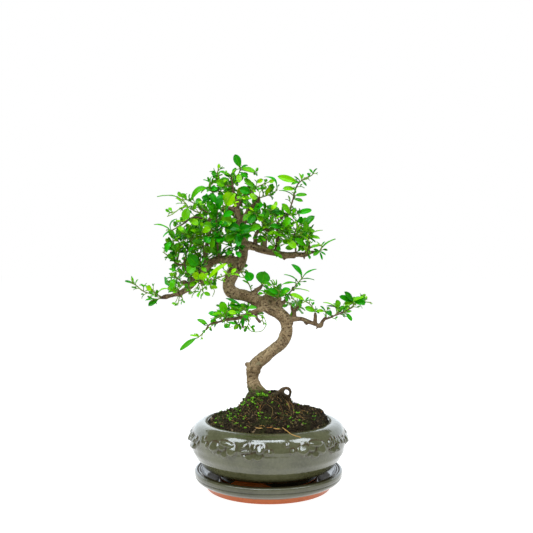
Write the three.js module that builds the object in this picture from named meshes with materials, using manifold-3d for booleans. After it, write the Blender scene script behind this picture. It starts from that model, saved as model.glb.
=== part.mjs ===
// A fukien tea bonsai in its round glazed pot, which stands in its saucer.
// Millimetres, +Z up. The origin is the middle of the saucer's flat underside. +Y is the back of the tree.
import * as THREE from "three";
import { mergeVertices } from "three/addons/utils/BufferGeometryUtils.js";
import Module from "manifold-3d";

const wasm = await Module();
wasm.setup();

// Driving dimensions
const GAP = 0.3; // between pieces that rest on or stand in each other
const CLOSE = 1e-3; // points nearer than this are one point
const FOOT_RADIUS = 61.4; // the saucer's unglazed foot band
const FOOT_HEIGHT = 4.6;
const DISH_RADIUS = 73.4;
const DISH_HEIGHT = 17.6;
const DISH_RIM = 6.4; // width of the flat rim
const DISH_FLOOR = 9; // top of the saucer's floor
const POT_FOOT_RADIUS = 48;
const POT_BELLY = 76.9; // largest radius, without the blossoms
const POT_LIP_RADIUS = 60.4;
const POT_HEIGHT = 64.8; // top of the rim over the table
const POT_FLOOR = 19; // top of the pot's floor
const POT_RECESS = 13.5; // underside of the pot inside its foot ring
const DRAIN_RADIUS = 6;
const ROUND = 32; // sides of the turned pieces
const BLADE_SHADE = 1.7; // a leaf's points keep this far from another leaf's
const PETIOLE = 0.1; // share of a leaf's length that is its narrow stalk
const KEEL = 1.0; // thickness of a blade along its midrib
const BLADE_ROWS = [
  { upTo: 5, rows: [0.55] },
  { upTo: 12, rows: [0.3, 0.74] },
  { upTo: 99, rows: [0.22, 0.5, 0.8] },
];
const SHOOT_RADIUS = 0.55;
const ROOT_DEPTH = 1.6; // leaves at a stem's end grow from this far inside it
const GRAFT_STEPS = 80;

// The tree is read from in front at eye level: x to the right and z up on the plane through the trunk, y the
// depth behind it. seen() carries a point along its line of sight to its depth, which gives its true place.
const EYE = { x: -2, y: -740, z: 218 };
function seen([x, y, z]) {
  const scale = (y - EYE.y) / -EYE.y;
  return new THREE.Vector3(EYE.x + (x - EYE.x) * scale, y, EYE.z + (z - EYE.z) * scale);
}

const UP = new THREE.Vector3(0, 0, 1);
const VIEWER = new THREE.Vector3(0, -1, 0);
const CROWN_AXIS = new THREE.Vector3(-30, 8, 0); // leaves turn outwards from this upright line

// Wood: x, y, z and the radius there
const TRUNK = [
  [-13, 0, 60, 5.0], [-12.5, 0, 80, 7.6], [-12, 0, 91, 7.8], [-15, 0, 99, 7.0], [-16, 0, 107, 6.4],
  [-15, 0, 114.5, 6.9], [-11.5, 0, 120.7, 6.9], [-4, -1, 127.1, 6.4], [3.3, -2, 133.5, 6.2],
  [11.3, -2, 139.9, 6.0], [15.8, -2, 147, 6.1], [18.6, -2, 156, 5.8], [16.8, -1, 165.5, 6.3],
  [10.3, 0, 171.9, 6.7], [3.2, 1, 175.9, 6.4], [-5.5, 2, 180.3, 6.3], [-14.1, 2, 184.9, 6.1],
  [-22.7, 1, 188.6, 6.1], [-31.3, 0, 190.7, 6.0], [-37.3, -1, 193.6, 6.3], [-39.5, -2, 199, 6.1],
  [-37.8, -1, 206, 6.3], [-34.3, 0, 213, 6.4], [-30.3, 1, 220, 6.0], [-26.3, 2, 227.5, 5.2],
  [-25, 3, 235, 4.6], [-25.2, 4, 243, 4.0], [-27, 5, 252, 3.4], [-29, 4, 262, 3.0],
  [-30.5, 3, 273, 2.5], [-33.3, 2, 285, 2.0], [-35.5, 0, 296, 1.5],
];
const LIMBS = {
  left: [
    [-29, 1, 221, 5.0], [-38, 0, 224.5, 4.5], [-47, -1, 225, 4.2], [-55, -2, 223.5, 4.1],
    [-63, -3, 216.5, 4.0], [-71, -4, 207, 3.8], [-78.5, -5, 198.5, 3.5], [-87, -5, 192, 2.8],
    [-97, -5, 189, 2.2], [-103, -5, 187.6, 2.5], [-108, -5, 186.5, 1.5],
  ],
  left_rise: [
    [-61, -2, 217, 2.4], [-62.5, -2, 228, 2.0], [-61.5, -2, 240, 2.1], [-60, -2, 252, 2.9],
    [-60, -2, 260, 3.0], [-57, -2, 268, 1.9], [-52, -1, 278, 1.3],
  ],
  left_knob: [[-80, -5, 199, 2.6], [-83.5, -6, 201.8, 2.6], [-87, -6, 202, 2.0]],
  left_spur: [[-71, -4, 206, 2.6], [-74.5, -6, 206.5, 2.2], [-76.5, -7, 204.6, 1.4]],
  left_under: [[-66, -4, 207, 3], [-66, -5, 202, 2.2], [-66.5, -5, 199, 1.6]],
  right: [
    [-25, 4, 240, 3.9], [-18, 3, 238.5, 3.9], [-10, 2, 236.3, 3.4], [0, 1, 234, 3.2], [8, 0, 232, 3.0],
    [17, -1, 229.4, 3.1], [27, -2, 230, 2.7], [36, -3, 229.8, 2.5], [43, -4, 232.2, 1.9],
    [48.5, -4, 232.4, 1.3],
  ],
  right_left_post: [
    [-12.5, 2, 237, 2.2], [-13.3, 0, 246, 1.8], [-11, -1, 252.5, 1.8], [-5, -2, 255, 1.7],
    [0.5, -2, 254.6, 1.5],
  ],
  right_back_post: [[-4, 3, 236, 2.6], [-3.6, 4, 244, 2.3], [-3, 5, 250, 1.6]],
  right_post: [[8, 0, 233, 2.1], [9, -1, 242, 1.9], [9, -2, 252, 1.8], [9, -3, 262, 1.3]],
  right_end_post: [[38, -3, 231, 2.4], [39.5, -4, 238, 2.1], [39.5, -4, 244, 1.8]],
  right_stub: [[15.5, -1, 229, 2.2], [15.5, -1, 225.8, 1.7]],
  fork_right: [
    [-26.5, 5, 256, 2.8], [-22.5, 4, 268, 2.4], [-19, 3, 276, 2.1], [-12, 1, 281.5, 1.9],
    [-9, 0, 287, 1.4],
  ],
  fork_left: [[-30.5, 3, 268, 2.6], [-34, 2, 274.5, 2.1], [-40, 1, 276.5, 1.8], [-45.5, 0, 275, 1.4]],
  fork_top: [[-31.5, 2, 277, 2.0], [-27.5, 1, 283, 1.6], [-24, 1, 288, 1.3]],
  low_right: [
    [15, -1, 165, 3.4], [24.7, -3, 165.6, 2.6], [33.1, -5, 165.4, 2.3], [40.1, -7, 162.8, 2.2],
    [47.1, -9, 160, 2.1], [52, -10, 158.8, 2.3], [53.6, -10, 162.5, 1.8], [56.8, -11, 166.6, 1.6],
  ],
  low_right_stub: [[38, -6, 163, 1.8], [38, -6, 160.4, 1.3]],
  low_right_post: [[46.4, -9, 160.5, 2.2], [46.8, -9, 167, 1.8], [46.8, -9, 171, 1.6]],
  low_right_fork: [
    [26, -3, 166, 2.3], [25.8, -3, 173, 1.8], [27.5, -4, 175, 1.6], [29.6, -4, 178, 1.4],
  ],
  low_right_prong: [[25.8, -3, 172, 1.8], [23.5, -3, 175.5, 1.4], [22.8, -3, 179, 1.1]],
  shoulder: [[5, 1, 176, 6.0], [7.5, 0, 182, 4.2], [11, -1, 185.3, 2.8]],
  shoulder_twig: [[8, 0, 178, 4.6], [13.5, 0, 180.5, 2.6], [17, -1, 184.4, 1.7], [20, -2, 190.6, 1.2]],
  round_leaf_knob: [
    [-16, 1, 190, 3.4], [-11, -1, 194.8, 2.1], [-8, -2, 197, 2.0], [-6.6, -2, 199.4, 1.3],
  ],
  low_left: [
    [0, 0, 178, 3.6], [-6.5, -2, 176, 3.1], [-12, -5, 173.6, 2.5], [-20, -9, 170.4, 2.2],
    [-29.6, -13, 166.4, 2.0], [-41, -17, 165.1, 1.7],
  ],
  low_left_hook: [[-12.5, -5, 173, 1.9], [-12, -7, 167, 1.3], [-8.6, -8, 162.5, 1.6]],
  low_left_snag: [[-23, -10, 169, 1.7], [-25.6, -12, 160.5, 1.2], [-25.5, -12, 156.6, 1.1]],
  base_knob: [[-14, 0, 119, 4], [-22, -1, 120.4, 2.1]],
};
// Roots: the flare at the soil line, the spread under it, and the one root that stands out as a loop
const ROOTS = {
  flare_right: [[-11, -2, 98, 4.2], [-6, -4, 94.5, 2.6], [0, -6, 89, 2.0], [8, -8, 80, 1.5]],
  flare_left: [[-13, -1, 96, 4.5], [-18, -3, 90, 3.2], [-25, -6, 80, 2.0]],
  flare_back: [[-12, 2, 96, 4.5], [-13, 8, 88, 3.2], [-15, 18, 76, 2.0]],
  spread_right: [[-10, 0, 80, 4], [4, 4, 72, 2.6], [20, 10, 62, 1.5]],
  spread_left: [[-15, 0, 76, 4], [-28, 6, 64, 2.6], [-36, 10, 54, 1.5]],
  loop: [
    [-8, -3, 80, 1.8], [4, -6, 80, 1.7], [10.5, -8, 85, 1.6], [13.4, -9, 91, 1.6], [15.6, -9, 95.4, 1.4],
    [19, -9, 96.2, 1.3], [21.8, -9, 93.2, 1.3], [21.2, -9, 89, 1.3], [19.6, -8, 83, 1.3], [24, -6, 74, 1.1],
  ],
};
const WOOD_SIDES = { trunk: 8, limb: 5, twig: 4 };
const TWIG_RADIUS = 2.3; // limbs that start thinner than this have fewer sides
const KNOTS = 0.09; // how much the wood's radius swells and shrinks along it

// Leafy stems. Each is a list of stems that are one piece: the first grows from the wood, the others from it.
// path: points as above; r: radius at its root; n: leaves set by the rule; size: their length;
// set: leaves set by hand, each [place along the stem, tip x, y, z, width, turn of the face to the front in
// degrees, arch].
const LEAFY_STEMS = {
  apex: [
    {
      path: [
        [-35.5, 0, 295], [-36.4, 0, 303], [-37.2, 0, 307.5], [-40.5, -1, 311.5],
      ],
      r: 1.2, n: 0, size: 9,
      set: [
        [0.75, -47, -4, 311.3, 4, 50], [0.8, -33.8, -3, 311.8, 3.6, 60], [0.3, -31, 9, 306, 5, 40],
      ],
    },
    {
      path: [
        [-36.6, 0, 304], [-32, -2, 308.3], [-29, -3, 312.5], [-28, -4, 317.8],
      ],
      r: 0.7, n: 0, size: 10.5,
      set: [
        [1, -33.8, -5, 330.3, 7.6, 82], [0.97, -20.6, -5, 319.3, 3.8, 45],
        [0.93, -37.5, -4, 310.8, 2.6, 15], [0.78, -18.4, -6, 313.4, 3.2, 30],
        [0.62, -28.8, -9, 302, 5.6, 70], [0.86, -13.2, -7, 312, 5.2, 72], [0.7, -21.5, -9, 306, 5, 40],
      ],
    },
    {
      path: [
        [-35.8, 0, 298], [-44, -4, 299], [-52, -7, 302], [-51.6, -8, 309], [-50, -9, 316],
      ],
      r: 0.8, n: 1, size: 10.5,
      set: [
        [0.8, -57.4, -9, 310.2, 5.6, 70], [1, -49.3, -9, 320.8, 2.6, 60], [0.84, -44, -8, 314, 3.2, 40],
        [0.3, -53.5, -12, 303.6, 7.5, 78], [0.45, -41.5, -9, 305.5, 4.5, 40],
      ],
    },
  ],
  arched_leaf: [
    {
      path: [
        [-50, -2, 281], [-54, -7, 289], [-59, -10, 296.5], [-55.4, -11, 301.4],
      ],
      r: 0.8, n: 1, size: 12.5,
      set: [
        [0.72, -76.8, -14, 285, 6.6, 62, 0.4], [1, -65.2, -12, 304.6, 3.6, 25],
        [0.75, -50.5, -14, 295.6, 5, 65], [0.4, -61.5, -13, 287.5, 4.6, 55],
      ],
    },
  ],
  yellow_leaf: [
    {
      path: [
        [-44, 0, 275.5], [-46, -13, 276], [-42, -23, 279.6], [-33, -27, 284.5], [-26.5, -27, 286.6],
      ],
      r: 0.7, n: 0, size: 9,
      set: [
        [0.57, -35, -31, 292, 13.4, 85],
      ],
    },
  ],
  upper_left: [
    {
      path: [
        [-57, -2, 268], [-65, -7, 274.5], [-76, -11, 282], [-84, -13, 286],
      ],
      r: 0.9, n: 0, size: 9,
      set: [
        [0.93, -88, -14, 291, 5.4, 60], [0.85, -79, -15, 290.6, 5, 50], [0.8, -79.4, -15, 286, 5, 70],
        [0.5, -71, -15, 280, 4.6, 60],
      ],
    },
    {
      path: [
        [-66, -7.5, 275], [-69.5, -12, 272], [-76, -15, 274.6], [-81.5, -17, 278.4],
      ],
      r: 0.7, n: 0, size: 9,
      set: [
        [0.97, -84, -20, 264.2, 8.6, 82], [0.95, -89.5, -19, 276, 2.4, 25],
        [0.62, -72.4, -18, 281.6, 4.8, 75],
      ],
    },
    {
      path: [
        [-80.5, -16.6, 278], [-83, -18, 281.5], [-91.5, -20, 288.2],
      ],
      r: 0.6, n: 0, size: 10.5,
      set: [
        [1, -111.5, -19, 287.6, 4.6, 10],
      ],
    },
    {
      path: [
        [-81, -16.8, 278], [-89, -19, 275.4], [-96, -21, 270.4], [-101, -22, 268.2],
      ],
      r: 0.55, n: 0, size: 4.6,
      set: [],
    },
  ],
  left_shoot: [
    {
      path: [
        [-60, -3, 261], [-66, -8, 265.8], [-73, -11, 267.2], [-79, -13, 265.4], [-84, -15, 261.5],
        [-91, -17, 257.2], [-98.6, -18, 253],
      ],
      r: 1.2, n: 1, size: 9,
      set: [
        [0.97, -114.3, -19, 260, 4.2, 22, 0.12], [0.96, -91, -19, 266, 3.4, 40, 0.3],
        [1, -105.2, -19, 247.6, 3, 35], [0.8, -84, -21, 254.5, 5, 55], [0.5, -70, -19, 259.5, 6.5, 70],
      ],
    },
  ],
  left_inner: [
    {
      path: [
        [-60.8, -2, 246], [-63, -12, 247], [-66, -18, 250.5], [-67, -20, 253],
      ],
      r: 0.8, n: 2, size: 15,
      set: [
        [0.9, -57, -23, 256, 7, 70],
      ],
    },
    {
      path: [
        [-63, -11, 247], [-66, -15, 240], [-70.5, -17, 238],
      ],
      r: 0.6, n: 2, size: 14,
      set: [],
    },
  ],
  front_twig: [
    {
      path: [
        [-50.2, -1, 228], [-51, -9, 240], [-51.6, -15, 252], [-52, -19, 264], [-51, -21, 273],
        [-53, -23, 281],
      ],
      r: 1.2, n: 1, size: 16,
      set: [
        [0.8, -62, -25, 284, 8, 70], [0.88, -45, -26, 285, 9, 75], [0.96, -58, -24, 290.6, 7, 60],
        [0.72, -60, -24, 272, 8, 60], [0.6, -57.6, -23, 261.6, 4, 65], [0.97, -46.5, -25, 289.5, 6, 50],
      ],
    },
    {
      path: [
        [-51.4, -12.5, 247], [-47, -17, 248], [-42, -21, 246.5],
      ],
      r: 0.6, n: 2, size: 14,
      set: [],
    },
    {
      path: [
        [-51.6, -15, 252], [-56, -19, 251], [-60, -22, 247],
      ],
      r: 0.6, n: 1, size: 15,
      set: [
        [0.9, -63, -24, 241.5, 8, 75],
      ],
    },
    {
      path: [
        [-51.8, -17, 258], [-48.5, -24, 264.5], [-44.5, -27, 269.5],
      ],
      r: 0.6, n: 0, size: 16,
      set: [
        [0.6, -35.4, -30, 262.6, 12.5, 84], [0.35, -27.6, -34, 256, 8.4, 74],
        [1, -35, -30, 271.5, 6.5, 70],
      ],
    },
  ],
  trunk_front: [
    {
      path: [
        [-26.6, 3, 248], [-29, -9, 251.5], [-34, -19, 250.8],
      ],
      r: 0.8, n: 1, size: 15,
      set: [
        [1, -16.5, -24, 257.6, 9, 72], [0.7, -30.2, -22, 237, 6.5, 78], [0.85, -42, -24, 243, 7, 70],
        [0.5, -6.5, -21, 257.5, 7.5, 66],
      ],
    },
  ],
  fork_front: [
    {
      path: [
        [-18, 3, 276], [-15, -8, 273], [-11, -15, 268],
      ],
      r: 0.8, n: 1, size: 16,
      set: [
        [0.8, -19.5, -19, 260.6, 7, 74], [1, -5.8, -18, 262.8, 5.4, 60],
        [0.5, -4.4, -15, 279.6, 6.5, 60],
      ],
    },
  ],
  top_middle: [
    {
      path: [
        [-24.5, 1, 287.5], [-18, -4, 291.5], [-13, -6, 296.6], [-7, -8, 299.5], [1.5, -10, 303],
      ],
      r: 0.8, n: 1, size: 9,
      set: [
        [0.45, -24.6, -8, 305.8, 5.6, 72], [0.28, -28.8, -10, 296, 8.4, 80],
        [0.25, -12, -10, 285, 6, 65],
      ],
    },
  ],
  upper_right: [
    {
      path: [
        [-9, 0, 286.5], [-3, -1, 288.5], [3, -2, 291], [9, -3, 294.6],
      ],
      r: 0.7, n: 0, size: 7,
      set: [
        [1, -4.3, -4, 307.6, 4, 45, 0.42], [0.6, 5, -5, 301.2, 6.6, 72], [0.3, 1.6, -5, 296.8, 5.2, 75],
      ],
    },
  ],
  red_twig: [
    {
      path: [
        [9, -3, 261], [14, -3, 267.5], [20.4, -3, 273], [22.6, -3, 279], [25, -3, 287], [27.3, -4, 296],
        [30.5, -5, 301.6], [36, -6, 306], [43, -7, 309], [45.2, -7, 312],
      ],
      r: 1.1, n: 0, size: 7,
      set: [
        [0.73, 9.4, -7, 308.4, 6.8, 80, 0.1], [0.61, 14.4, -8, 296, 5.8, 60],
        [0.5, 38.4, -5, 289.2, 4.4, 62], [0.46, 34.6, -5, 283.4, 4.2, 60],
        [0.5, 10.4, -5, 293.6, 3.2, 22, 0.12], [0.74, 25.4, -8, 307.6, 2.6, 45],
        [0.76, 30, -8, 310.6, 2.4, 60], [0.77, 34.6, -4, 310.2, 2.6, 50],
        [0.78, 38.6, -8, 298.5, 2.6, 60], [0.74, 22.4, -8, 299.4, 3, 60], [0.92, 38, -9, 311, 3.2, 70],
        [1, 40.4, -8, 315.6, 2.8, 60], [1, 48.6, -8, 316.2, 2.6, 60], [0.62, 26, -7, 296, 3.6, 60],
      ],
    },
    {
      path: [
        [11, -3, 264], [7, -8, 269], [3.5, -11, 273.4], [-3, -12, 275.5],
      ],
      r: 0.7, n: 1, size: 12.5,
      set: [
        [0.7, 8.5, -14, 279.4, 5.6, 58, 0.3], [1, -14.5, -14, 279.4, 6.4, 60],
      ],
    },
    {
      path: [
        [15.5, -3, 269], [20, -8, 269.5], [26, -10, 269.6], [29, -11, 271],
      ],
      r: 0.7, n: 1, size: 10.5,
      set: [
        [1, 43.2, -10, 274.4, 6, 68], [0.35, 3.4, -12, 272.6, 6.6, 50],
        [0.5, 13.2, -12, 280.8, 6.6, 66], [0.7, 27, -12, 276.4, 4.4, 60],
      ],
    },
  ],
  pale_leaf: [
    {
      path: [
        [9, -2, 251], [12, -10, 252.6], [15, -17, 258],
      ],
      r: 0.7, n: 1, size: 14,
      set: [
        [1, 22.6, -20, 266.6, 8, 66], [0.8, 1, -18, 258.6, 5, 62],
      ],
    },
  ],
  arch_cluster: [
    {
      path: [
        [-5, -2, 255], [-6, -9, 260], [-5, -15, 266],
      ],
      r: 0.8, n: 2, size: 15,
      set: [],
    },
    {
      path: [
        [-5.6, -7, 258], [2, -13, 260.6], [7, -17, 264],
      ],
      r: 0.6, n: 2, size: 12.5,
      set: [],
    },
  ],
  right_upright: [
    {
      path: [
        [26.6, -2, 231], [27, -4, 240], [25.8, -6, 250], [29, -9, 257], [33, -11, 262],
      ],
      r: 1.1, n: 1, size: 14,
      set: [
        [0.97, 39.6, -13, 265.6, 6.4, 72], [0.95, 30.4, -14, 267.6, 6.6, 74],
      ],
    },
    {
      path: [
        [26, -5.6, 248], [31, -12, 250], [37, -15, 256],
      ],
      r: 0.6, n: 3, size: 16,
      set: [],
    },
    {
      path: [
        [27, -4, 240], [22, -10, 242], [16.5, -14, 246.5],
      ],
      r: 0.6, n: 1, size: 15,
      set: [
        [0.9, 27.2, -17, 236, 7.4, 66], [0.4, 13.5, -14, 242.6, 6, 60],
      ],
    },
    {
      path: [
        [26.9, -3.6, 238], [31, 8, 246], [34, 19, 253],
      ],
      r: 0.7, n: 3, size: 15,
      set: [],
    },
  ],
  right_end: [
    {
      path: [
        [39.5, -4, 243], [40.6, -8, 249], [41.5, -9, 255],
      ],
      r: 0.7, n: 1, size: 12.5,
      set: [
        [0.6, 54.4, -10, 255, 3.8, 12, 0.12], [0.4, 51.4, -11, 245.4, 4.2, 50],
        [0.3, 47, -10, 241.8, 2.6, 40], [0.8, 45.6, -10, 260.6, 2.2, 50],
      ],
    },
  ],
  right_tip: [
    {
      path: [
        [47.5, -4, 232.5], [50.6, -6, 233.2], [53, -8, 237], [53.2, -9, 240],
      ],
      r: 0.7, n: 0, size: 7,
      set: [
        [0.45, 67, -9, 245.6, 5, 20, 0.1], [1, 41.6, -11, 237, 4, 45], [0.4, 44.4, -10, 228.2, 4.4, 62],
        [0.96, 56.4, -10, 242.8, 2.4, 45], [0.3, 57, -8, 229.4, 2.4, 50], [0.35, 45, -10, 235.4, 3, 55],
        [0.3, 53.6, -9, 224.4, 2.4, 60],
      ],
    },
  ],
  right_front: [
    {
      path: [
        [36, -4, 230.5], [38.6, -9, 233.5], [38, -12, 239],
      ],
      r: 0.7, n: 1, size: 10.5,
      set: [
        [0.95, 25.4, -14, 245.8, 5.8, 68], [0.4, 35.6, -13, 239.6, 4.6, 76],
      ],
    },
  ],
  right_under: [
    {
      path: [
        [3, 0, 233.5], [4.6, -6, 234.5], [6, -8, 238.4],
      ],
      r: 0.7, n: 0, size: 7,
      set: [
        [1, -1, -10, 237, 4.8, 66], [0.5, 13.6, -9, 226, 4.4, 50], [0.8, 2.6, -11, 246.4, 4, 50],
      ],
    },
  ],
  crown_back_left: [
    {
      path: [
        [-30.6, 4, 262], [-34, 25, 268], [-38, 43, 272],
      ],
      r: 0.9, n: 3, size: 16,
      set: [],
    },
    {
      path: [
        [-33.6, 23, 267.5], [-43, 34, 262], [-50, 42, 262],
      ],
      r: 0.7, n: 3, size: 16,
      set: [],
    },
  ],
  crown_back_right: [
    {
      path: [
        [-21.6, 4, 270], [-17, 25, 274], [-12, 43, 277],
      ],
      r: 0.9, n: 3, size: 16,
      set: [],
    },
    {
      path: [
        [-18, 21, 273], [-8, 28, 270], [0, 36, 272],
      ],
      r: 0.7, n: 3, size: 15,
      set: [],
    },
  ],
  crown_back_top: [
    {
      path: [
        [-34.6, 1, 291], [-41, 18, 294], [-47, 34, 296],
      ],
      r: 0.8, n: 3, size: 15,
      set: [],
    },
    {
      path: [
        [-39, 14, 293.2], [-36, 28, 300], [-34, 36, 305],
      ],
      r: 0.6, n: 2, size: 14,
      set: [],
    },
  ],
  crown_back_middle: [
    {
      path: [
        [-32.4, 3, 281], [-27, 21, 287], [-20, 36, 292],
      ],
      r: 0.8, n: 3, size: 15,
      set: [],
    },
  ],
  back_rise: [
    {
      path: [
        [-60, -1, 256], [-64, 17, 260], [-70, 35, 262],
      ],
      r: 0.8, n: 3, size: 15,
      set: [],
    },
    {
      path: [
        [-62.6, 11, 259], [-62, 22, 269], [-64, 31, 277],
      ],
      r: 0.6, n: 3, size: 15,
      set: [],
    },
  ],
  back_heart: [
    {
      path: [
        [-26, 5, 246], [-31, 27, 248], [-38, 45, 252],
      ],
      r: 0.8, n: 3, size: 16,
      set: [],
    },
    {
      path: [
        [-29, 18, 247], [-22, 34, 252], [-16, 46, 256],
      ],
      r: 0.6, n: 3, size: 15,
      set: [],
    },
  ],
  back_right: [
    {
      path: [
        [-3.2, 5, 248], [-2, 22, 256], [0, 36, 260],
      ],
      r: 0.8, n: 3, size: 15,
      set: [],
    },
  ],
  back_post: [
    {
      path: [
        [9, -1, 247], [14, 15, 254], [19, 31, 259],
      ],
      r: 0.8, n: 3, size: 15,
      set: [],
    },
  ],
  back_left: [
    {
      path: [
        [-46, 0, 227], [-48, 20, 233], [-52, 38, 240],
      ],
      r: 0.8, n: 3, size: 16,
      set: [],
    },
    {
      path: [
        [-47.4, 14, 231.4], [-57, 24, 234], [-66, 31, 238],
      ],
      r: 0.6, n: 2, size: 15,
      set: [],
    },
  ],
  left_rise_back: [
    {
      path: [
        [-61.8, -1, 234], [-68, 11, 240], [-76, 21, 246],
      ],
      r: 0.8, n: 3, size: 15,
      set: [],
    },
  ],
  left_tip: [
    {
      path: [
        [-107, -5, 187.5], [-110, -6, 189.2], [-124, -8, 192.7], [-133, -9, 199.6], [-138, -10, 201.8],
      ],
      r: 0.7, n: 0, size: 7,
      set: [
        [0.9, -143.6, -10, 203.2, 3, 50], [0.88, -136.6, -11, 208, 2.2, 60],
        [0.86, -130.6, -10, 205.4, 2.4, 60],
      ],
    },
    {
      path: [
        [-109.4, -6, 189], [-113.6, -10, 192], [-117.6, -12, 196.6],
      ],
      r: 0.6, n: 0, size: 7,
      set: [
        [1, -129.4, -13, 199.4, 3, 20], [0.9, -122.8, -14, 197, 6, 74], [0.2, -112, -11, 194.6, 4, 66],
        [0.25, -99, -10, 195.6, 3.6, 25, 0.2],
      ],
    },
  ],
  left_end: [
    {
      path: [
        [-107, -5, 186.4], [-112, -8, 185], [-117.6, -10, 183.4],
      ],
      r: 0.7, n: 0, size: 7,
      set: [
        [0.3, -120.6, -12, 178.2, 5.8, 60], [0.45, -122.6, -11, 184.2, 3.4, 32],
      ],
    },
  ],
  left_knot: [
    {
      path: [
        [-86, -6, 202.2], [-90, -10, 205.4], [-94.6, -12, 207.4],
      ],
      r: 0.7, n: 1, size: 12.5,
      set: [
        [0.8, -98.6, -13, 211, 4.8, 10], [1, -103, -12, 205.4, 3.6, 14],
        [0.9, -96.8, -15, 194, 5, 55, 0.28],
      ],
    },
  ],
  left_bright: [
    {
      path: [
        [-89, -5, 192], [-92, -10, 194.6], [-95.6, -13, 192.4],
      ],
      r: 0.7, n: 2, size: 10.5,
      set: [],
    },
  ],
  left_face: [
    {
      path: [
        [-64.6, -4, 214.6], [-69, -12, 217.6], [-74, -16, 219],
      ],
      r: 0.7, n: 1, size: 15,
      set: [
        [0.75, -81.4, -19, 229.6, 11, 76], [1, -81.4, -20, 211.6, 9, 74],
      ],
    },
  ],
  left_yellow: [
    {
      path: [
        [-70, -5, 206.6], [-67.6, -14, 205.4], [-63.6, -18, 203],
      ],
      r: 0.7, n: 1, size: 10.5,
      set: [
        [0.85, -67, -20, 212, 6.6, 80], [0.5, -76, -17, 210.6, 7, 74], [1, -59.8, -20, 211.4, 5, 66],
      ],
    },
  ],
  bright_shoot: [
    {
      path: [
        [-70.6, -5, 203.6], [-68.6, -11, 201], [-60, -16, 202.6], [-50, -19, 206.6], [-43, -20, 209.2],
        [-36.4, -21, 211.6],
      ],
      r: 0.7, n: 0, size: 7,
      set: [
        [1, -31.6, -22, 215.8, 3.8, 72], [0.97, -28.4, -21, 208.8, 2.6, 45],
        [0.88, -46, -23, 213.6, 2.6, 50], [0.38, -41.6, -21, 221.4, 5, 60, 0.16],
        [0.62, -50.6, -22, 214.4, 3.6, 60], [0.66, -55.6, -22, 207, 2.4, 30],
        [0.1, -78.6, -15, 198.6, 4.6, 60], [0.06, -72.6, -15, 193.4, 3, 60],
        [0.14, -65, -16, 207.4, 4, 60],
      ],
    },
  ],
  left_twig: [
    {
      path: [
        [-79, -6, 203], [-81.2, -8, 212], [-84, -9, 221], [-83.6, -9, 226], [-81.6, -9, 232],
        [-76.4, -9, 241], [-74, -10, 252],
      ],
      r: 1.2, n: 2, size: 14,
      set: [
        [0.97, -83, -14, 256.6, 6, 70], [0.9, -69, -14, 249.6, 4.6, 40],
        [0.6, -76.8, -12, 237.6, 3, 50],
      ],
    },
    {
      path: [
        [-80.9, -7.8, 210.6], [-86, -11, 212], [-92, -13, 213.2],
      ],
      r: 0.6, n: 1, size: 10.5,
      set: [
        [1, -99.6, -14, 215.6, 3, 60],
      ],
    },
    {
      path: [
        [-83.8, -9, 220], [-91, -9, 220.4], [-97, -10, 226], [-105.4, -11, 232.4],
      ],
      r: 1.3, n: 0, size: 6,
      set: [],
    },
    {
      path: [
        [-90.6, -9, 220.4], [-92, -11, 229], [-94, -13, 238], [-95.6, -14, 245],
      ],
      r: 0.7, n: 2, size: 15,
      set: [
        [0.98, -102.4, -16, 231.4, 5.4, 66, 0.3],
      ],
    },
    {
      path: [
        [-91, -9.6, 223], [-89, -9, 233], [-87.6, -10, 240], [-84, -12, 246],
      ],
      r: 0.6, n: 3, size: 15,
      set: [],
    },
    {
      path: [
        [-76.2, -9, 242], [-80.6, -12, 249], [-87, -14, 252],
      ],
      r: 0.6, n: 2, size: 14,
      set: [],
    },
  ],
  left_back: [
    {
      path: [
        [-70, -3, 209], [-72, 13, 214], [-76, 28, 217],
      ],
      r: 0.8, n: 3, size: 15,
      set: [],
    },
    {
      path: [
        [-71.2, 5, 212.4], [-64, 17, 209], [-60, 25, 205],
      ],
      r: 0.6, n: 2, size: 12.5,
      set: [],
    },
  ],
  left_back_low: [
    {
      path: [
        [-88, -4, 192.6], [-92, 10, 197], [-97, 24, 200],
      ],
      r: 0.7, n: 3, size: 14,
      set: [],
    },
  ],
  low_left_tip: [
    {
      path: [
        [-40.4, -17, 165], [-49.7, -20, 162.6], [-58.6, -22, 160.2], [-61, -23, 157.4], [-66, -24, 151],
        [-71, -25, 146.4],
      ],
      r: 1.3, n: 0, size: 7,
      set: [
        [1, -88.6, -27, 134, 5.6, 55, 0.08], [0.98, -79, -26, 149.4, 2.4, 50],
        [0.95, -73, -26, 151, 3, 66], [0.58, -71.8, -24, 164, 4.8, 50],
        [0.34, -56, -22, 165.4, 2.8, 60],
      ],
    },
    {
      path: [
        [-42, -17.6, 165], [-42.6, -18, 170], [-40.6, -19, 174],
      ],
      r: 0.7, n: 0, size: 9,
      set: [
        [0.6, -47.4, -20, 183.6, 8, 80], [0.3, -54, -19, 172.2, 3, 8],
        [0.1, -56.4, -20, 168.6, 4.6, 35, 0.2], [0.8, -32.4, -20, 170.6, 5, 60],
      ],
    },
    {
      path: [
        [-43, -18, 164.6], [-38.6, -20, 160.6], [-40, -21, 157],
      ],
      r: 0.6, n: 0, size: 6,
      set: [
        [0.6, -44, -22, 156.6, 4.6, 66], [0.35, -33, -21, 160, 3, 60],
      ],
    },
    {
      path: [
        [-46, -18.8, 163.8], [-49, -10, 168], [-54, -3, 169.6],
      ],
      r: 0.6, n: 2, size: 12.5,
      set: [],
    },
  ],
  low_left_leaves: [
    {
      path: [
        [-21, -9, 171], [-23.6, -12, 175.6], [-27, -14, 177.4],
      ],
      r: 0.7, n: 0, size: 9,
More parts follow.
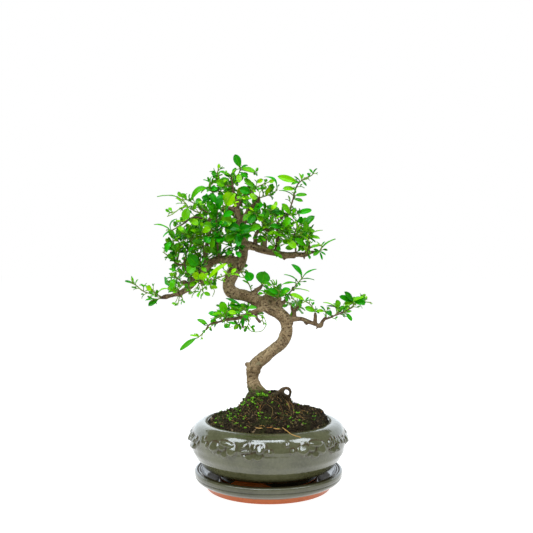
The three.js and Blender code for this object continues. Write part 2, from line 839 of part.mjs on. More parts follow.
      set: [
        [1, -42.6, -17, 185.8, 4.6, 38, 0.1], [0.9, -40.8, -16, 178.6, 4, 40],
        [0.5, -11.4, -14, 176.4, 4.2, 50, 0.25],
      ],
    },
  ],
  low_left_cluster: [
    {
      path: [
        [-26.6, -12, 168], [-27, -16, 169.4], [-24, -19, 168],
      ],
      r: 0.6, n: 1, size: 9,
      set: [
        [0.9, -11.4, -19, 167, 3.4, 30], [0.8, -26.2, -20, 158, 3.4, 50],
      ],
    },
  ],
  low_left_inner: [
    {
      path: [
        [-9, -8, 163], [-6, -10, 163.8], [-4.6, -11, 160],
      ],
      r: 0.6, n: 1, size: 6,
      set: [],
    },
  ],
  low_left_back: [
    {
      path: [
        [-30, -12, 167], [-33, -2, 172], [-37, 10, 174],
      ],
      r: 0.7, n: 2, size: 14,
      set: [],
    },
    {
      path: [
        [-31, -8, 169], [-24, -1, 170], [-18, 4, 168],
      ],
      r: 0.6, n: 1, size: 10.5,
      set: [],
    },
  ],
  small_twig: [
    {
      path: [
        [19.8, -2, 190], [25, -3, 196.4], [30, -4, 202], [34.4, -5, 207.6],
      ],
      r: 0.9, n: 0, size: 7,
      set: [
        [1, 22.6, -7, 220, 5.6, 58, 0.22], [0.98, 48, -6, 215.2, 3.8, 26, 0.14],
        [0.66, 15, -6, 209.4, 3.4, 22, 0.14], [0.62, 13.6, -7, 199.8, 3.4, 35, 0.14],
        [0.85, 45.4, -6, 204, 3.2, 12], [0.72, 32, -8, 199, 2.4, 60], [0.55, 29, -7, 197.4, 2.2, 60],
        [0.3, 41, -6, 193.2, 3.2, 10],
      ],
    },
  ],
  post_shoot: [
    {
      path: [
        [46.8, -9, 170], [46, -10, 174], [41, -12, 180.6], [35, -13, 184],
      ],
      r: 0.7, n: 0, size: 6,
      set: [
        [1, 21.6, -14, 190.4, 5.6, 50, 0.12], [0.97, 46, -14, 183.8, 2.8, 22],
        [0.16, 35.8, -13, 177.6, 5.8, 66], [0.1, 39.6, -13, 171.4, 4, 66],
        [0.2, 51, -12, 170.6, 2.4, 50], [0.06, 36, -12, 166.4, 3.2, 20],
        [0.95, 40.4, -14, 187.4, 2, 60],
      ],
    },
  ],
  fork_shoot: [
    {
      path: [
        [29.4, -4, 177], [28, -6, 181.6], [25.4, -7, 184.8], [22.6, -8, 186.6],
      ],
      r: 0.6, n: 1, size: 8,
      set: [],
    },
  ],
  prong_shoot: [
    {
      path: [
        [22.8, -3, 178], [21.6, -7, 181], [17, -9, 182.6],
      ],
      r: 0.6, n: 1, size: 8,
      set: [],
    },
  ],
  shoulder_shoot: [
    {
      path: [
        [10, -1, 185], [9.4, -6, 188.4], [11, -9, 192.6],
      ],
      r: 0.7, n: 1, size: 10.5,
      set: [
        [0.3, 5, -10, 199, 5, 72], [1, 22.4, -11, 195, 7, 58], [0.7, -0.6, -11, 195.4, 5.6, 70],
        [0.2, -5.4, -9, 194.4, 5, 62],
      ],
    },
  ],
  round_leaf: [
    {
      path: [
        [-6.8, -2, 198.6], [-6.4, -4, 201.4],
      ],
      r: 0.7, n: 0, size: 7,
      set: [
        [0.9, -3.6, -8, 213.6, 14.4, 86], [0.9, 4, -6, 199, 3, 30], [0.6, 3.6, -4, 196.6, 3, 55],
      ],
    },
  ],
  trunk_shoot: [
    {
      path: [
        [-31, -2, 212.6], [-26.6, -7, 213.2], [-20.6, -8, 213.2],
      ],
      r: 0.7, n: 0, size: 7,
      set: [
        [0.35, -23.8, -9, 220.6, 3.4, 72], [0.97, -17.4, -9, 203.4, 9.8, 80],
      ],
    },
  ],
  dark_twig: [
    {
      path: [
        [-17, 1, 190], [-18.6, -3, 198], [-21.6, -5, 204], [-27.4, -6, 212],
      ],
      r: 0.7, n: 0, size: 6,
      set: [
        [0.4, -26, -5, 203.6, 3, 40], [0.3, -15.6, -5, 199.4, 2.4, 50],
      ],
    },
  ],
  low_right_tip: [
    {
      path: [
        [56, -11, 166], [60, -12, 166.2], [64.7, -13, 168.4], [73.8, -14, 171.9], [80.1, -15, 175.2],
        [85, -16, 178.4], [84.4, -17, 184],
      ],
      r: 1.2, n: 0, size: 7,
      set: [
        [0.95, 97.2, -19, 181.2, 6, 62], [0.97, 75.2, -19, 180, 5.2, 60], [1, 96, -20, 187.4, 4.6, 35],
        [0.99, 70.4, -19, 187.9, 6.2, 70], [1, 75.5, -18, 192.6, 5.8, 72],
      ],
    },
    {
      path: [
        [85, -16.4, 180.5], [91, -18, 184], [97, -18, 182.6], [102.6, -19, 182],
      ],
      r: 0.55, n: 0, size: 5,
      set: [],
    },
    {
      path: [
        [69, -13.5, 170.2], [69.6, -14, 174], [70, -15, 177.8],
      ],
      r: 0.8, n: 0, size: 7,
      set: [
        [1, 54.6, -15, 182.4, 3.6, 14], [0.98, 68, -17, 185.2, 6.2, 76],
        [0.95, 58, -15, 178.8, 3.2, 20], [0.97, 76, -16, 178.4, 3.4, 30],
      ],
    },
    {
      path: [
        [75.4, -14.2, 172.6], [78, -16, 170.6],
      ],
      r: 0.6, n: 0, size: 6,
      set: [
        [1, 83.5, -17, 163.4, 4.6, 58], [0.9, 83.4, -17, 173.4, 2.8, 60],
      ],
    },
    {
      path: [
        [57.4, -11.4, 166], [57.6, -13, 171], [56.4, -14, 174],
      ],
      r: 0.8, n: 0, size: 7,
      set: [
        [0.9, 63, -16, 169, 5.8, 54, 0.3], [0.97, 47.4, -14, 173.4, 4.4, 42],
        [1, 51.4, -15, 178.4, 3.2, 40],
      ],
    },
    {
      path: [
        [66, -13, 168.8], [69, -4, 172], [74, 5, 176],
      ],
      r: 0.6, n: 2, size: 12.5,
      set: [],
    },
    {
      path: [
        [81, -15.2, 175.8], [86, -7, 180], [91, 0, 184],
      ],
      r: 0.6, n: 2, size: 12.5,
      set: [],
    },
  ],
  low_right_back: [
    {
      path: [
        [26, -3, 171], [26, 11, 177], [29, 25, 180],
      ],
      r: 0.7, n: 2, size: 12.5,
      set: [],
    },
  ],
  shoulder_back: [
    {
      path: [
        [7, 2, 184], [6, 17, 190], [1, 29, 194],
      ],
      r: 0.7, n: 3, size: 14,
      set: [],
    },
  ],
};

// Reproducible draws
function draws(seed) {
  let state = seed >>> 0;
  return () => {
    state = (state + 0x6d2b79f5) >>> 0;
    let mixed = state;
    mixed = Math.imul(mixed ^ (mixed >>> 15), mixed | 1);
    mixed ^= mixed + Math.imul(mixed ^ (mixed >>> 7), mixed | 61);
    return ((mixed ^ (mixed >>> 14)) >>> 0) / 4294967296;
  };
}

function routeLength(route) {
  return route.slice(1).reduce((sum, p, i) => sum + p.point.distanceTo(route[i].point), 0);
}

// The point, radius and direction at a place along a route, 0 to 1
function along(route, place) {
  let rest = Math.min(Math.max(place, 0), 1) * routeLength(route);
  let i = 0;
  let step = route[0].point.distanceTo(route[1].point);
  while (i < route.length - 2 && rest > step) {
    rest -= step;
    i += 1;
    step = route[i].point.distanceTo(route[i + 1].point);
  }
  const [from, to] = [route[i], route[i + 1]];
  const t = Math.min(rest / step, 1);
  return {
    point: from.point.clone().lerp(to.point, t),
    radius: from.radius + (to.radius - from.radius) * t,
    ahead: to.point.clone().sub(from.point).normalize(),
  };
}

function woodRoute(points) {
  return points.map(([x, y, z, radius]) => ({ point: seen([x, y, z]), radius }));
}

// A leafy stem's route starts on the axis of what it grows from, at the point nearest to its first point
function stemRoute({ path, r }, parents) {
  const route = path.map((p, i) => ({
    point: seen(p),
    radius: r + (SHOOT_RADIUS - r) * (i / (path.length - 1)),
  }));
  const start = route[0].point;
  const candidates = parents.flatMap((parent) =>
    Array.from({ length: GRAFT_STEPS + 1 }, (_, i) => along(parent, i / GRAFT_STEPS).point),
  );
  route[0].point = candidates.reduce((best, p) => (p.distanceTo(start) < best.distanceTo(start) ? p : best));
  return route;
}

// Solids
function solid(geometry) {
  const bare = geometry.clone();
  bare.deleteAttribute("normal");
  bare.deleteAttribute("uv");
  const merged = mergeVertices(bare, CLOSE);
  return new wasm.Manifold(
    new wasm.Mesh({
      numProp: 3,
      vertProperties: merged.attributes.position.array,
      triVerts: new Uint32Array(merged.index.array),
    }),
  );
}

function joined(solids) {
  return solids.reduce((sum, piece) => sum.add(piece));
}

// The largest body of a solid: what a cut leaves loose is dropped
function largest(piece) {
  return piece.decompose().reduce((best, body) => (body.volume() > best.volume() ? body : best));
}

function closedGeometry(points, faces) {
  const geometry = new THREE.BufferGeometry();
  const numbers = points.flatMap((p) => [p.x, p.y, p.z]);
  geometry.setAttribute("position", new THREE.Float32BufferAttribute(numbers, 3));
  geometry.setIndex(faces.flat());
  return geometry;
}

function geometryOf(piece) {
  const { vertProperties, triVerts } = piece.getMesh();
  const geometry = new THREE.BufferGeometry();
  geometry.setAttribute("position", new THREE.BufferAttribute(Float32Array.from(vertProperties), 3));
  geometry.setIndex(new THREE.BufferAttribute(Uint32Array.from(triVerts), 1));
  return geometry;
}

function mesh(name, piece, look) {
  const geometry = geometryOf(largest(solid(geometryOf(piece))));
  geometry.computeVertexNormals();
  const made = new THREE.Mesh(geometry, new THREE.MeshStandardMaterial(look));
  made.name = name;
  return made;
}

// A tapered round stem through the points of a route, closed at both ends
function stem(route, sides, grow = 0, knots = 0) {
  const points = [];
  const faces = [];
  let across = new THREE.Vector3(0, 1, 0);
  route.forEach(({ point, radius }, ring) => {
    const next = route[Math.min(ring + 1, route.length - 1)].point;
    const ahead = next.clone().sub(route[Math.max(ring - 1, 0)].point).normalize();
    across = across.clone().addScaledVector(ahead, -across.dot(ahead)).normalize();
    const beside = ahead.clone().cross(across);
    const swell = 1 + knots * Math.sin(ring * 2.1) * Math.cos(ring * 0.7);
    const overhang = ring === 0 ? -grow : ring === route.length - 1 ? grow : 0;
    const middle = point.clone().addScaledVector(ahead, overhang);
    for (let side = 0; side < sides; side += 1) {
      const angle = (side / sides) * 2 * Math.PI;
      const reach = radius * swell * (1 + knots * Math.cos(3 * angle + ring)) + grow;
      const corner = middle.clone().addScaledVector(across, Math.cos(angle) * reach);
      points.push(corner.addScaledVector(beside, Math.sin(angle) * reach));
    }
  });
  const last = (route.length - 1) * sides;
  for (let corner = 0; corner < last; corner += 1) {
    const next = corner % sides === sides - 1 ? corner + 1 - sides : corner + 1;
    faces.push([corner, next, next + sides], [corner, next + sides, corner + sides]);
  }
  for (let side = 1; side < sides - 1; side += 1) {
    faces.push([0, side + 1, side], [last, last + side, last + side + 1]);
  }
  return solid(closedGeometry(points, faces));
}

function woodPieces(grow) {
  const limbs = Object.values({ ...LIMBS, ...ROOTS });
  return joined([
    stem(woodRoute(TRUNK), WOOD_SIDES.trunk, grow, KNOTS),
    ...limbs.map((points) => {
      const sides = points[0][3] > TWIG_RADIUS ? WOOD_SIDES.limb : WOOD_SIDES.twig;
      return stem(woodRoute(points), sides, grow, KNOTS);
    }),
  ]);
}

// A leaf blade: how wide it is along its length, 0 to 1, as a share of its full width
function outline(place) {
  if (place <= PETIOLE) return 0.12;
  const t = (place - PETIOLE) / (1 - PETIOLE);
  return Math.max((4 * t * (1 - t)) ** 0.62 * (0.86 + 0.28 * t), 0.12 * (1 - t));
}

// A leaf's own frame, from where it grows to its tip. A turn of 0 leaves its face up,
// one of 90 turns it outward.
function leafFrame(leaf) {
  const axis = leaf.tip.clone().sub(leaf.base).normalize();
  const outward = leaf.outward.clone().addScaledVector(axis, -leaf.outward.dot(axis)).normalize();
  const face = UP.clone().addScaledVector(axis, -UP.dot(axis));
  if (face.length() < 0.25) face.copy(outward);
  face.normalize();
  const side = axis.clone().cross(face);
  const turn = (leaf.turn / 90) * Math.atan2(side.dot(outward), face.dot(outward));
  const normal = face.clone().multiplyScalar(Math.cos(turn)).addScaledVector(side, Math.sin(turn));
  return { axis, normal, side: axis.clone().cross(normal), length: leaf.tip.distanceTo(leaf.base) };
}

// A point of the blade's middle surface: place along it, and across from -1 to 1
function bladePoint(leaf, frame, place, across) {
  const rise = leaf.arch * frame.length * 4 * place * (1 - place) + leaf.fold * Math.abs(across) * leaf.width;
  return leaf.base
    .clone()
    .addScaledVector(frame.axis, frame.length * place)
    .addScaledVector(frame.side, 0.5 * leaf.width * outline(place) * across)
    .addScaledVector(frame.normal, rise * (place > PETIOLE ? 1 : place / PETIOLE));
}

// The blade is keeled under its midrib and thins to its edge. Each row of points is left, right, keel.
function blade(leaf) {
  const frame = leafFrame(leaf);
  const rows = BLADE_ROWS.find(({ upTo }) => frame.length < upTo).rows;
  const points = [leaf.base.clone()];
  rows.forEach((place) => {
    points.push(
      bladePoint(leaf, frame, place, -1),
      bladePoint(leaf, frame, place, 1),
      bladePoint(leaf, frame, place, 0).addScaledVector(frame.normal, -KEEL),
    );
  });
  points.push(bladePoint(leaf, frame, 1, 0));
  const tip = points.length - 1;
  const [left, right, keel] = [1, 2, 3];
  const end = tip - 4;
  const faces = [
    [0, right, left], [0, keel, right], [0, left, keel],
    [end + left, end + right, tip], [end + right, end + keel, tip], [end + keel, end + left, tip],
  ];
  for (let k = 0; k < (rows.length - 1) * 3; k += 3) {
    faces.push(
      [k + left, k + right, k + right + 3], [k + left, k + right + 3, k + left + 3],
      [k + keel, k + right + 3, k + right], [k + keel, k + keel + 3, k + right + 3],
      [k + left, k + keel + 3, k + keel], [k + left, k + left + 3, k + keel + 3],
    );
  }
  return solid(closedGeometry(points, faces));
}

// Room for the leaves: the points of what stands already, with their reach and the piece they belong to
const taken = [];
function claim(point, reach, owner, root = false) {
  taken.push({ point, reach, owner, root });
}

function bladeSamples(leaf) {
  const frame = leafFrame(leaf);
  const rows = Math.ceil(frame.length / 2.2) + 1;
  const columns = leaf.width > 7 ? 5 : 3;
  const samples = [];
  for (let row = 1; row <= rows; row += 1) {
    const place = row / rows;
    for (let column = 0; column < columns; column += 1) {
      const across = (2 * column) / (columns - 1) - 1;
      samples.push({ point: bladePoint(leaf, frame, place, across), root: place < 0.34 });
    }
  }
  return samples;
}

function isClear(leaf, owner) {
  return bladeSamples(leaf).every((sample) =>
    taken.every((other) => {
      if (other.owner === owner && (other.root || sample.root)) return true;
      return other.point.distanceTo(sample.point) > other.reach + BLADE_SHADE;
    }),
  );
}

function claimLeaf(leaf, owner) {
  bladeSamples(leaf).forEach(({ point, root }) => claim(point, 0, owner, root));
}

function claimRoute(route, owner, margin, spacing) {
  const count = Math.ceil(routeLength(route) / spacing);
  for (let i = 0; i <= count; i += 1) {
    const { point, radius } = along(route, i / count);
    claim(point, Math.max(radius + margin, 0), owner, true);
  }
}

// Where a leaf grows from: on the stem's axis, short of its end, so that its root is sunk well in
function leafRoot(route, place) {
  return along(route, Math.min(place, 1 - ROOT_DEPTH / routeLength(route)));
}

// A leaf set by hand on its stem; tries push it nearer or further where it would cross another
function setLeaf(route, [place, x, y, z, width, turn, arch = 0.1], attempt) {
  const push = attempt === 0 ? 0 : (attempt % 2 ? -1 : 1) * 2.5 * Math.ceil(attempt / 2);
  return {
    base: leafRoot(route, place).point,
    tip: seen([x, y + push, z]),
    width,
    turn: turn + push,
    arch,
    fold: 0.1,
    outward: VIEWER,
  };
}

// A leaf that the rule sets: leaves go round the stem by the golden angle and open from it towards the light
const GOLDEN_ANGLE = 2.4;
function ruledLeaf(route, stemData, index, seed, attempt) {
  const draw = draws(seed * 101 + index * 17 + 3);
  const place = 0.2 + (0.8 * (index + 1)) / stemData.n;
  const { point: base, ahead } = leafRoot(route, place);
  const level = ahead.clone().cross(UP);
  if (level.length() < 0.2) level.set(1, 0, 0);
  level.normalize();
  const raised = level.clone().cross(ahead);
  const round = seed * 1.3 + index * GOLDEN_ANGLE + (draw() - 0.5) * 0.8 + attempt * 0.9;
  const terminal = index === stemData.n - 1;
  const opening = terminal ? 0.25 + 0.3 * draw() : 0.8 + 0.45 * draw();
  const outward = base.clone().sub(CROWN_AXIS).setZ(0).normalize();
  const axis = ahead
    .clone()
    .multiplyScalar(Math.cos(opening))
    .addScaledVector(level, Math.cos(round) * Math.sin(opening))
    .addScaledVector(raised, Math.sin(round) * Math.sin(opening))
    .addScaledVector(UP, 0.12)
    .addScaledVector(outward, 0.12)
    .normalize();
  const length = stemData.size * (0.78 + 0.44 * draw()) * 0.95 ** attempt * (terminal ? 0.85 : 1);
  return {
    base,
    tip: base.clone().addScaledVector(axis, length),
    width: length * (0.5 + 0.12 * draw()),
    turn: 15 + 60 * draw(),
    arch: 0.06 + 0.1 * draw(),
    fold: 0.06 + 0.08 * draw(),
    outward,
  };
}

const TRIES = 9;
const woodRoutes = [TRUNK, ...Object.values(LIMBS)].map(woodRoute);
const everyStem = Object.entries(LEAFY_STEMS).flatMap(([owner, stems]) => {
  const grown = [];
  return stems.map((data) => {
    const route = stemRoute(data, grown.length ? grown : woodRoutes);
    grown.push(route);
    return { owner, data, route, leaves: [] };
  });
});
woodRoutes.forEach((route) => claimRoute(route, "wood", -0.4, 2));
everyStem.forEach(({ owner, route }) => claimRoute(route, owner, -0.5, 2));
everyStem.forEach((entry) => {
  entry.data.set.forEach((numbers) => {
    for (let attempt = 0; attempt < TRIES; attempt += 1) {
      const leaf = setLeaf(entry.route, numbers, attempt);
      if (!isClear(leaf, entry.owner)) continue;
      claimLeaf(leaf, entry.owner);
      entry.leaves.push(leaf);
      break;
    }
  });
});
everyStem.forEach((entry, seed) => {
  for (let index = 0; index < entry.data.n; index += 1) {
    for (let attempt = 0; attempt < TRIES; attempt += 1) {
      const leaf = ruledLeaf(entry.route, entry.data, index, seed, attempt);
      if (!isClear(leaf, entry.owner)) continue;
      claimLeaf(leaf, entry.owner);
      entry.leaves.push(leaf);
      break;
    }
  }
});

// The pot and the saucer, turned on the wheel
function turned(profile) {
  const points = profile.map(([radius, height]) => new THREE.Vector2(radius, height));
  return solid(new THREE.LatheGeometry(points, ROUND).rotateX(Math.PI / 2));
}

function saucer() {
  return turned([
    [0, 0], [FOOT_RADIUS, 0], [FOOT_RADIUS + 1.6, FOOT_HEIGHT], [FOOT_RADIUS + 5.8, FOOT_HEIGHT + 1.6],
    [DISH_RADIUS - 2, 8.7], [DISH_RADIUS - 0.2, 11.7], [DISH_RADIUS, DISH_HEIGHT - 1],
    [DISH_RADIUS - 0.7, DISH_HEIGHT], [DISH_RADIUS - DISH_RIM, DISH_HEIGHT], [62, 11.4], [54, DISH_FLOOR],
    [0, DISH_FLOOR],
  ]);
}

const potFoot = DISH_FLOOR + GAP;
const POT_OUTSIDE = [
  [POT_FOOT_RADIUS - 0.5, potFoot], [POT_FOOT_RADIUS + 1, 15.8], [57, 17.6], [64.8, 22], [68.7, 26.5],
  [72.8, 32.4], [75.2, 37.4], [POT_BELLY, 46], [76.4, 53], [74.6, 58.6], [71.6, 62.4], [67, 64.5],
  [62.4, POT_HEIGHT],
];
const POT_INSIDE = [
  [POT_LIP_RADIUS - 0.6, 63.6], [POT_LIP_RADIUS, 60.6], [69.2, 54.4], [70.8, 42], [62, 25.5], [47, POT_FLOOR],
];

// The raised flower sprays round the belly: the outline of each part, x and z from its middle
// Each spray: turn from the front, rise
const SPRAY_PLACES = [[-96, -3], [-34, 0], [31, 0], [88, -3], [150, -1], [207, -2]];
const BLOSSOM = [
  [12, 3], [7, 6], [2, 4.6], [-3, 6.4], [-9, 4.5], [-12, -1], [-8, -3.4], [-3, -6], [3, -3], [8, -6.6],
  [12.5, -3],
];
const FOLIAGE = [[10.5, 2], [8, 8], [4, 5], [-3, 7.5], [-10, 6], [-8, 0], [-5, -6.5], [2, -8], [9, -5]];
const BUD = [[2, 0], [0, 2.4], [-2, 0], [0, -2.4]];
const SPRAY = [
  { shape: BLOSSOM, turn: 0, height: 50, stand: 4.4 },
  { shape: FOLIAGE, turn: 24, height: 51, stand: 2.8 },
  { shape: BUD, turn: -13, height: 50, stand: 2 },
];
const SUNK = 2.6; // how deep the sprays reach into the wall

function bellyRadius(height) {
  const i = POT_OUTSIDE.findIndex(([, z], k) => k > 3 && z >= height);
  const [r0, z0] = POT_OUTSIDE[i - 1];
  const [r1, z1] = POT_OUTSIDE[i];
  return r0 + ((r1 - r0) * (height - z0)) / (z1 - z0);
}

function raised({ shape, turn, height, stand }, [start, rise]) {
  const middle = height + rise;
  const belly = bellyRadius(middle);
  const at = (x, z, out) => new THREE.Vector3(x, -(belly + out), middle + z);
  const count = shape.length;
  const points = [
    ...shape.map(([x, z]) => at(x, z, -SUNK)),
    ...shape.map(([x, z]) => at(x * 0.68, z * 0.68, stand * 0.8)),
    at(0, 0, -SUNK),
    at(0, 0, stand),
  ];
  const faces = [];
  for (let i = 0; i < count; i += 1) {
    const next = (i + 1) % count;
    faces.push([i, next, next + count], [i, next + count, i + count]);
    faces.push([2 * count, next, i], [2 * count + 1, i + count, next + count]);
  }
  return solid(closedGeometry(points, faces).rotateZ(THREE.MathUtils.degToRad(start + turn)));
}

function pot() {
  const body = turned([
    ...POT_OUTSIDE, ...POT_INSIDE, [DRAIN_RADIUS, POT_FLOOR], [DRAIN_RADIUS, POT_RECESS], [39, POT_RECESS],
    [41, potFoot], POT_OUTSIDE[0],
  ]);
  return joined([body, ...SPRAY_PLACES.flatMap((place) => SPRAY.map((part) => raised(part, place)))]);
}

// The soil: a mound that is highest beside the trunk. MOUND gives its height by the distance from its middle.
const MOUND = [
  [0, 92.4], [12, 91.4], [18, 88.2], [23, 84], [27, 79], [32, 75.2], [38, 72.4], [47, 70.4], [54, 69.2],
  [58, 67.5], [70, 62],
];
const MOUND_MIDDLE = { x: -1.5, y: 2 };
const MOUND_LEAN = 2.8; // how much higher its right slope is, and lower its left
const SOIL_RADIUS = 59.3;
const SOIL_EDGE = 63.4; // height of the soil where it meets the pot
const SOIL_RINGS = [0, 12, 20, 29, 40, 50, 55.5, SOIL_RADIUS];
function soilHeight(x, y) {
  const distance = Math.hypot(x - MOUND_MIDDLE.x, y - MOUND_MIDDLE.y);
  const i = MOUND.findIndex(([radius]) => radius > distance);
  const [r0, z0] = MOUND[i - 1];
  const [r1, z1] = MOUND[i];
  const slope = (MOUND_LEAN * (x - MOUND_MIDDLE.x)) / Math.max(distance, 1);
  const lean = slope * THREE.MathUtils.smoothstep(distance, 26, 40);
  const mound = z0 + ((z1 - z0) * (distance - r0)) / (r1 - r0);
  const rough = 0.9 * Math.sin(x * 0.31 + y * 0.17) * Math.cos(y * 0.27 - x * 0.11);
  const edge = THREE.MathUtils.smoothstep(Math.hypot(x, y), 56, SOIL_RADIUS);
  return (mound + lean + rough) * (1 - edge) + SOIL_EDGE * edge;
}

function soil(hole) {
  const under = POT_INSIDE.slice(1).map(([radius, height]) => [radius - GAP * 1.2, height]);
  under[under.length - 1][1] += GAP;
  const top = SOIL_RINGS.map((radius) => [radius, 0]);
  const profile = [[0, POT_FLOOR + GAP], ...under.reverse(), ...top.reverse()];
  const points = profile.map(([radius, height]) => new THREE.Vector2(radius, height));
  const geometry = new THREE.LatheGeometry(points, ROUND).rotateX(Math.PI / 2);
  const place = geometry.attributes.position;
  for (let i = 0; i < place.count; i += 1) {
    if (place.getZ(i) < 1) place.setZ(i, soilHeight(place.getX(i), place.getY(i)));
  }
  return largest(solid(geometry).subtract(hole));
}

const wood = woodPieces(0);
const sleeve = woodPieces(GAP);

const tree = new THREE.Group();
tree.add(mesh("saucer", saucer(), { color: 0x6b7058, roughness: 0.18, metalness: 0 }));
tree.add(mesh("pot", pot(), { color: 0x6e7259, roughness: 0.15, metalness: 0 }));
tree.add(mesh("soil", soil(sleeve), { color: 0x33261c, roughness: 0.95, metalness: 0 }));
tree.add(mesh("trunk", wood, { color: 0x7d6d55, roughness: 0.85, metalness: 0 }));

// The stems whose leaves are young and lighter
const YOUNG = [
  "yellow_leaf", "bright_shoot", "left_bright", "round_leaf", "trunk_shoot", "upper_left", "left_yellow",
];
Object.keys(LEAFY_STEMS).forEach((owner) => {
  const pieces = everyStem
    .filter((entry) => entry.owner === owner)
    .flatMap(({ route, data, leaves }) => [stem(route, data.r > 1 ? 4 : 3), ...leaves.map(blade)]);
  const look = { color: YOUNG.includes(owner) ? 0x7cc41e : 0x2f8f14, roughness: 0.35, metalness: 0 };
  tree.add(mesh(`leafy_stem_${owner}`, largest(joined(pieces).subtract(sleeve)), look));
});

export default tree;
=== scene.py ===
# A fukien tea bonsai with its glazed pot and saucer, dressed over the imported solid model.
# Lengths are millimetres, +Z up and +Y to the back, until a mesh is made in metres. The wood and the leafy
# stems stand where the solid model has them: the same places, the same rule and the same draws.
import math

import bpy
import numpy as np
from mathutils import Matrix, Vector


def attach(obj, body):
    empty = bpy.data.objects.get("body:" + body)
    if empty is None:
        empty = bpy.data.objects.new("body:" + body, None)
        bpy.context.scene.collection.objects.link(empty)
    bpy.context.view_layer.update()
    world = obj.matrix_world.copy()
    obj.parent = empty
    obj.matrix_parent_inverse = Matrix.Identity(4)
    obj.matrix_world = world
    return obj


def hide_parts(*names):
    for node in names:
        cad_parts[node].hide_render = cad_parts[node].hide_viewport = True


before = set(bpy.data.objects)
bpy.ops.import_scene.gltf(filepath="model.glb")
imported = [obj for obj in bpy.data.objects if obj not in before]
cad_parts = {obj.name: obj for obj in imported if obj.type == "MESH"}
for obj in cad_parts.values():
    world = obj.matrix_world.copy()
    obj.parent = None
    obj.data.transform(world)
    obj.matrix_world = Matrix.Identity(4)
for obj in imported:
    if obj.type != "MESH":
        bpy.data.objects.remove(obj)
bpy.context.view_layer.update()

# Wood: x, y, z and the radius there, as seen() reads them
TRUNK = [
    (-13, 0, 60, 5), (-12.5, 0, 80, 7.6), (-12, 0, 91, 7.8), (-15, 0, 99, 7), (-16, 0, 107, 6.4),
    (-15, 0, 114.5, 6.9), (-11.5, 0, 120.7, 6.9), (-4, -1, 127.1, 6.4), (3.3, -2, 133.5, 6.2),
    (11.3, -2, 139.9, 6), (15.8, -2, 147, 6.1), (18.6, -2, 156, 5.8), (16.8, -1, 165.5, 6.3),
    (10.3, 0, 171.9, 6.7), (3.2, 1, 175.9, 6.4), (-5.5, 2, 180.3, 6.3), (-14.1, 2, 184.9, 6.1),
    (-22.7, 1, 188.6, 6.1), (-31.3, 0, 190.7, 6), (-37.3, -1, 193.6, 6.3), (-39.5, -2, 199, 6.1),
    (-37.8, -1, 206, 6.3), (-34.3, 0, 213, 6.4), (-30.3, 1, 220, 6), (-26.3, 2, 227.5, 5.2),
    (-25, 3, 235, 4.6), (-25.2, 4, 243, 4), (-27, 5, 252, 3.4), (-29, 4, 262, 3), (-30.5, 3, 273, 2.5),
    (-33.3, 2, 285, 2), (-35.5, 0, 296, 1.5),
]
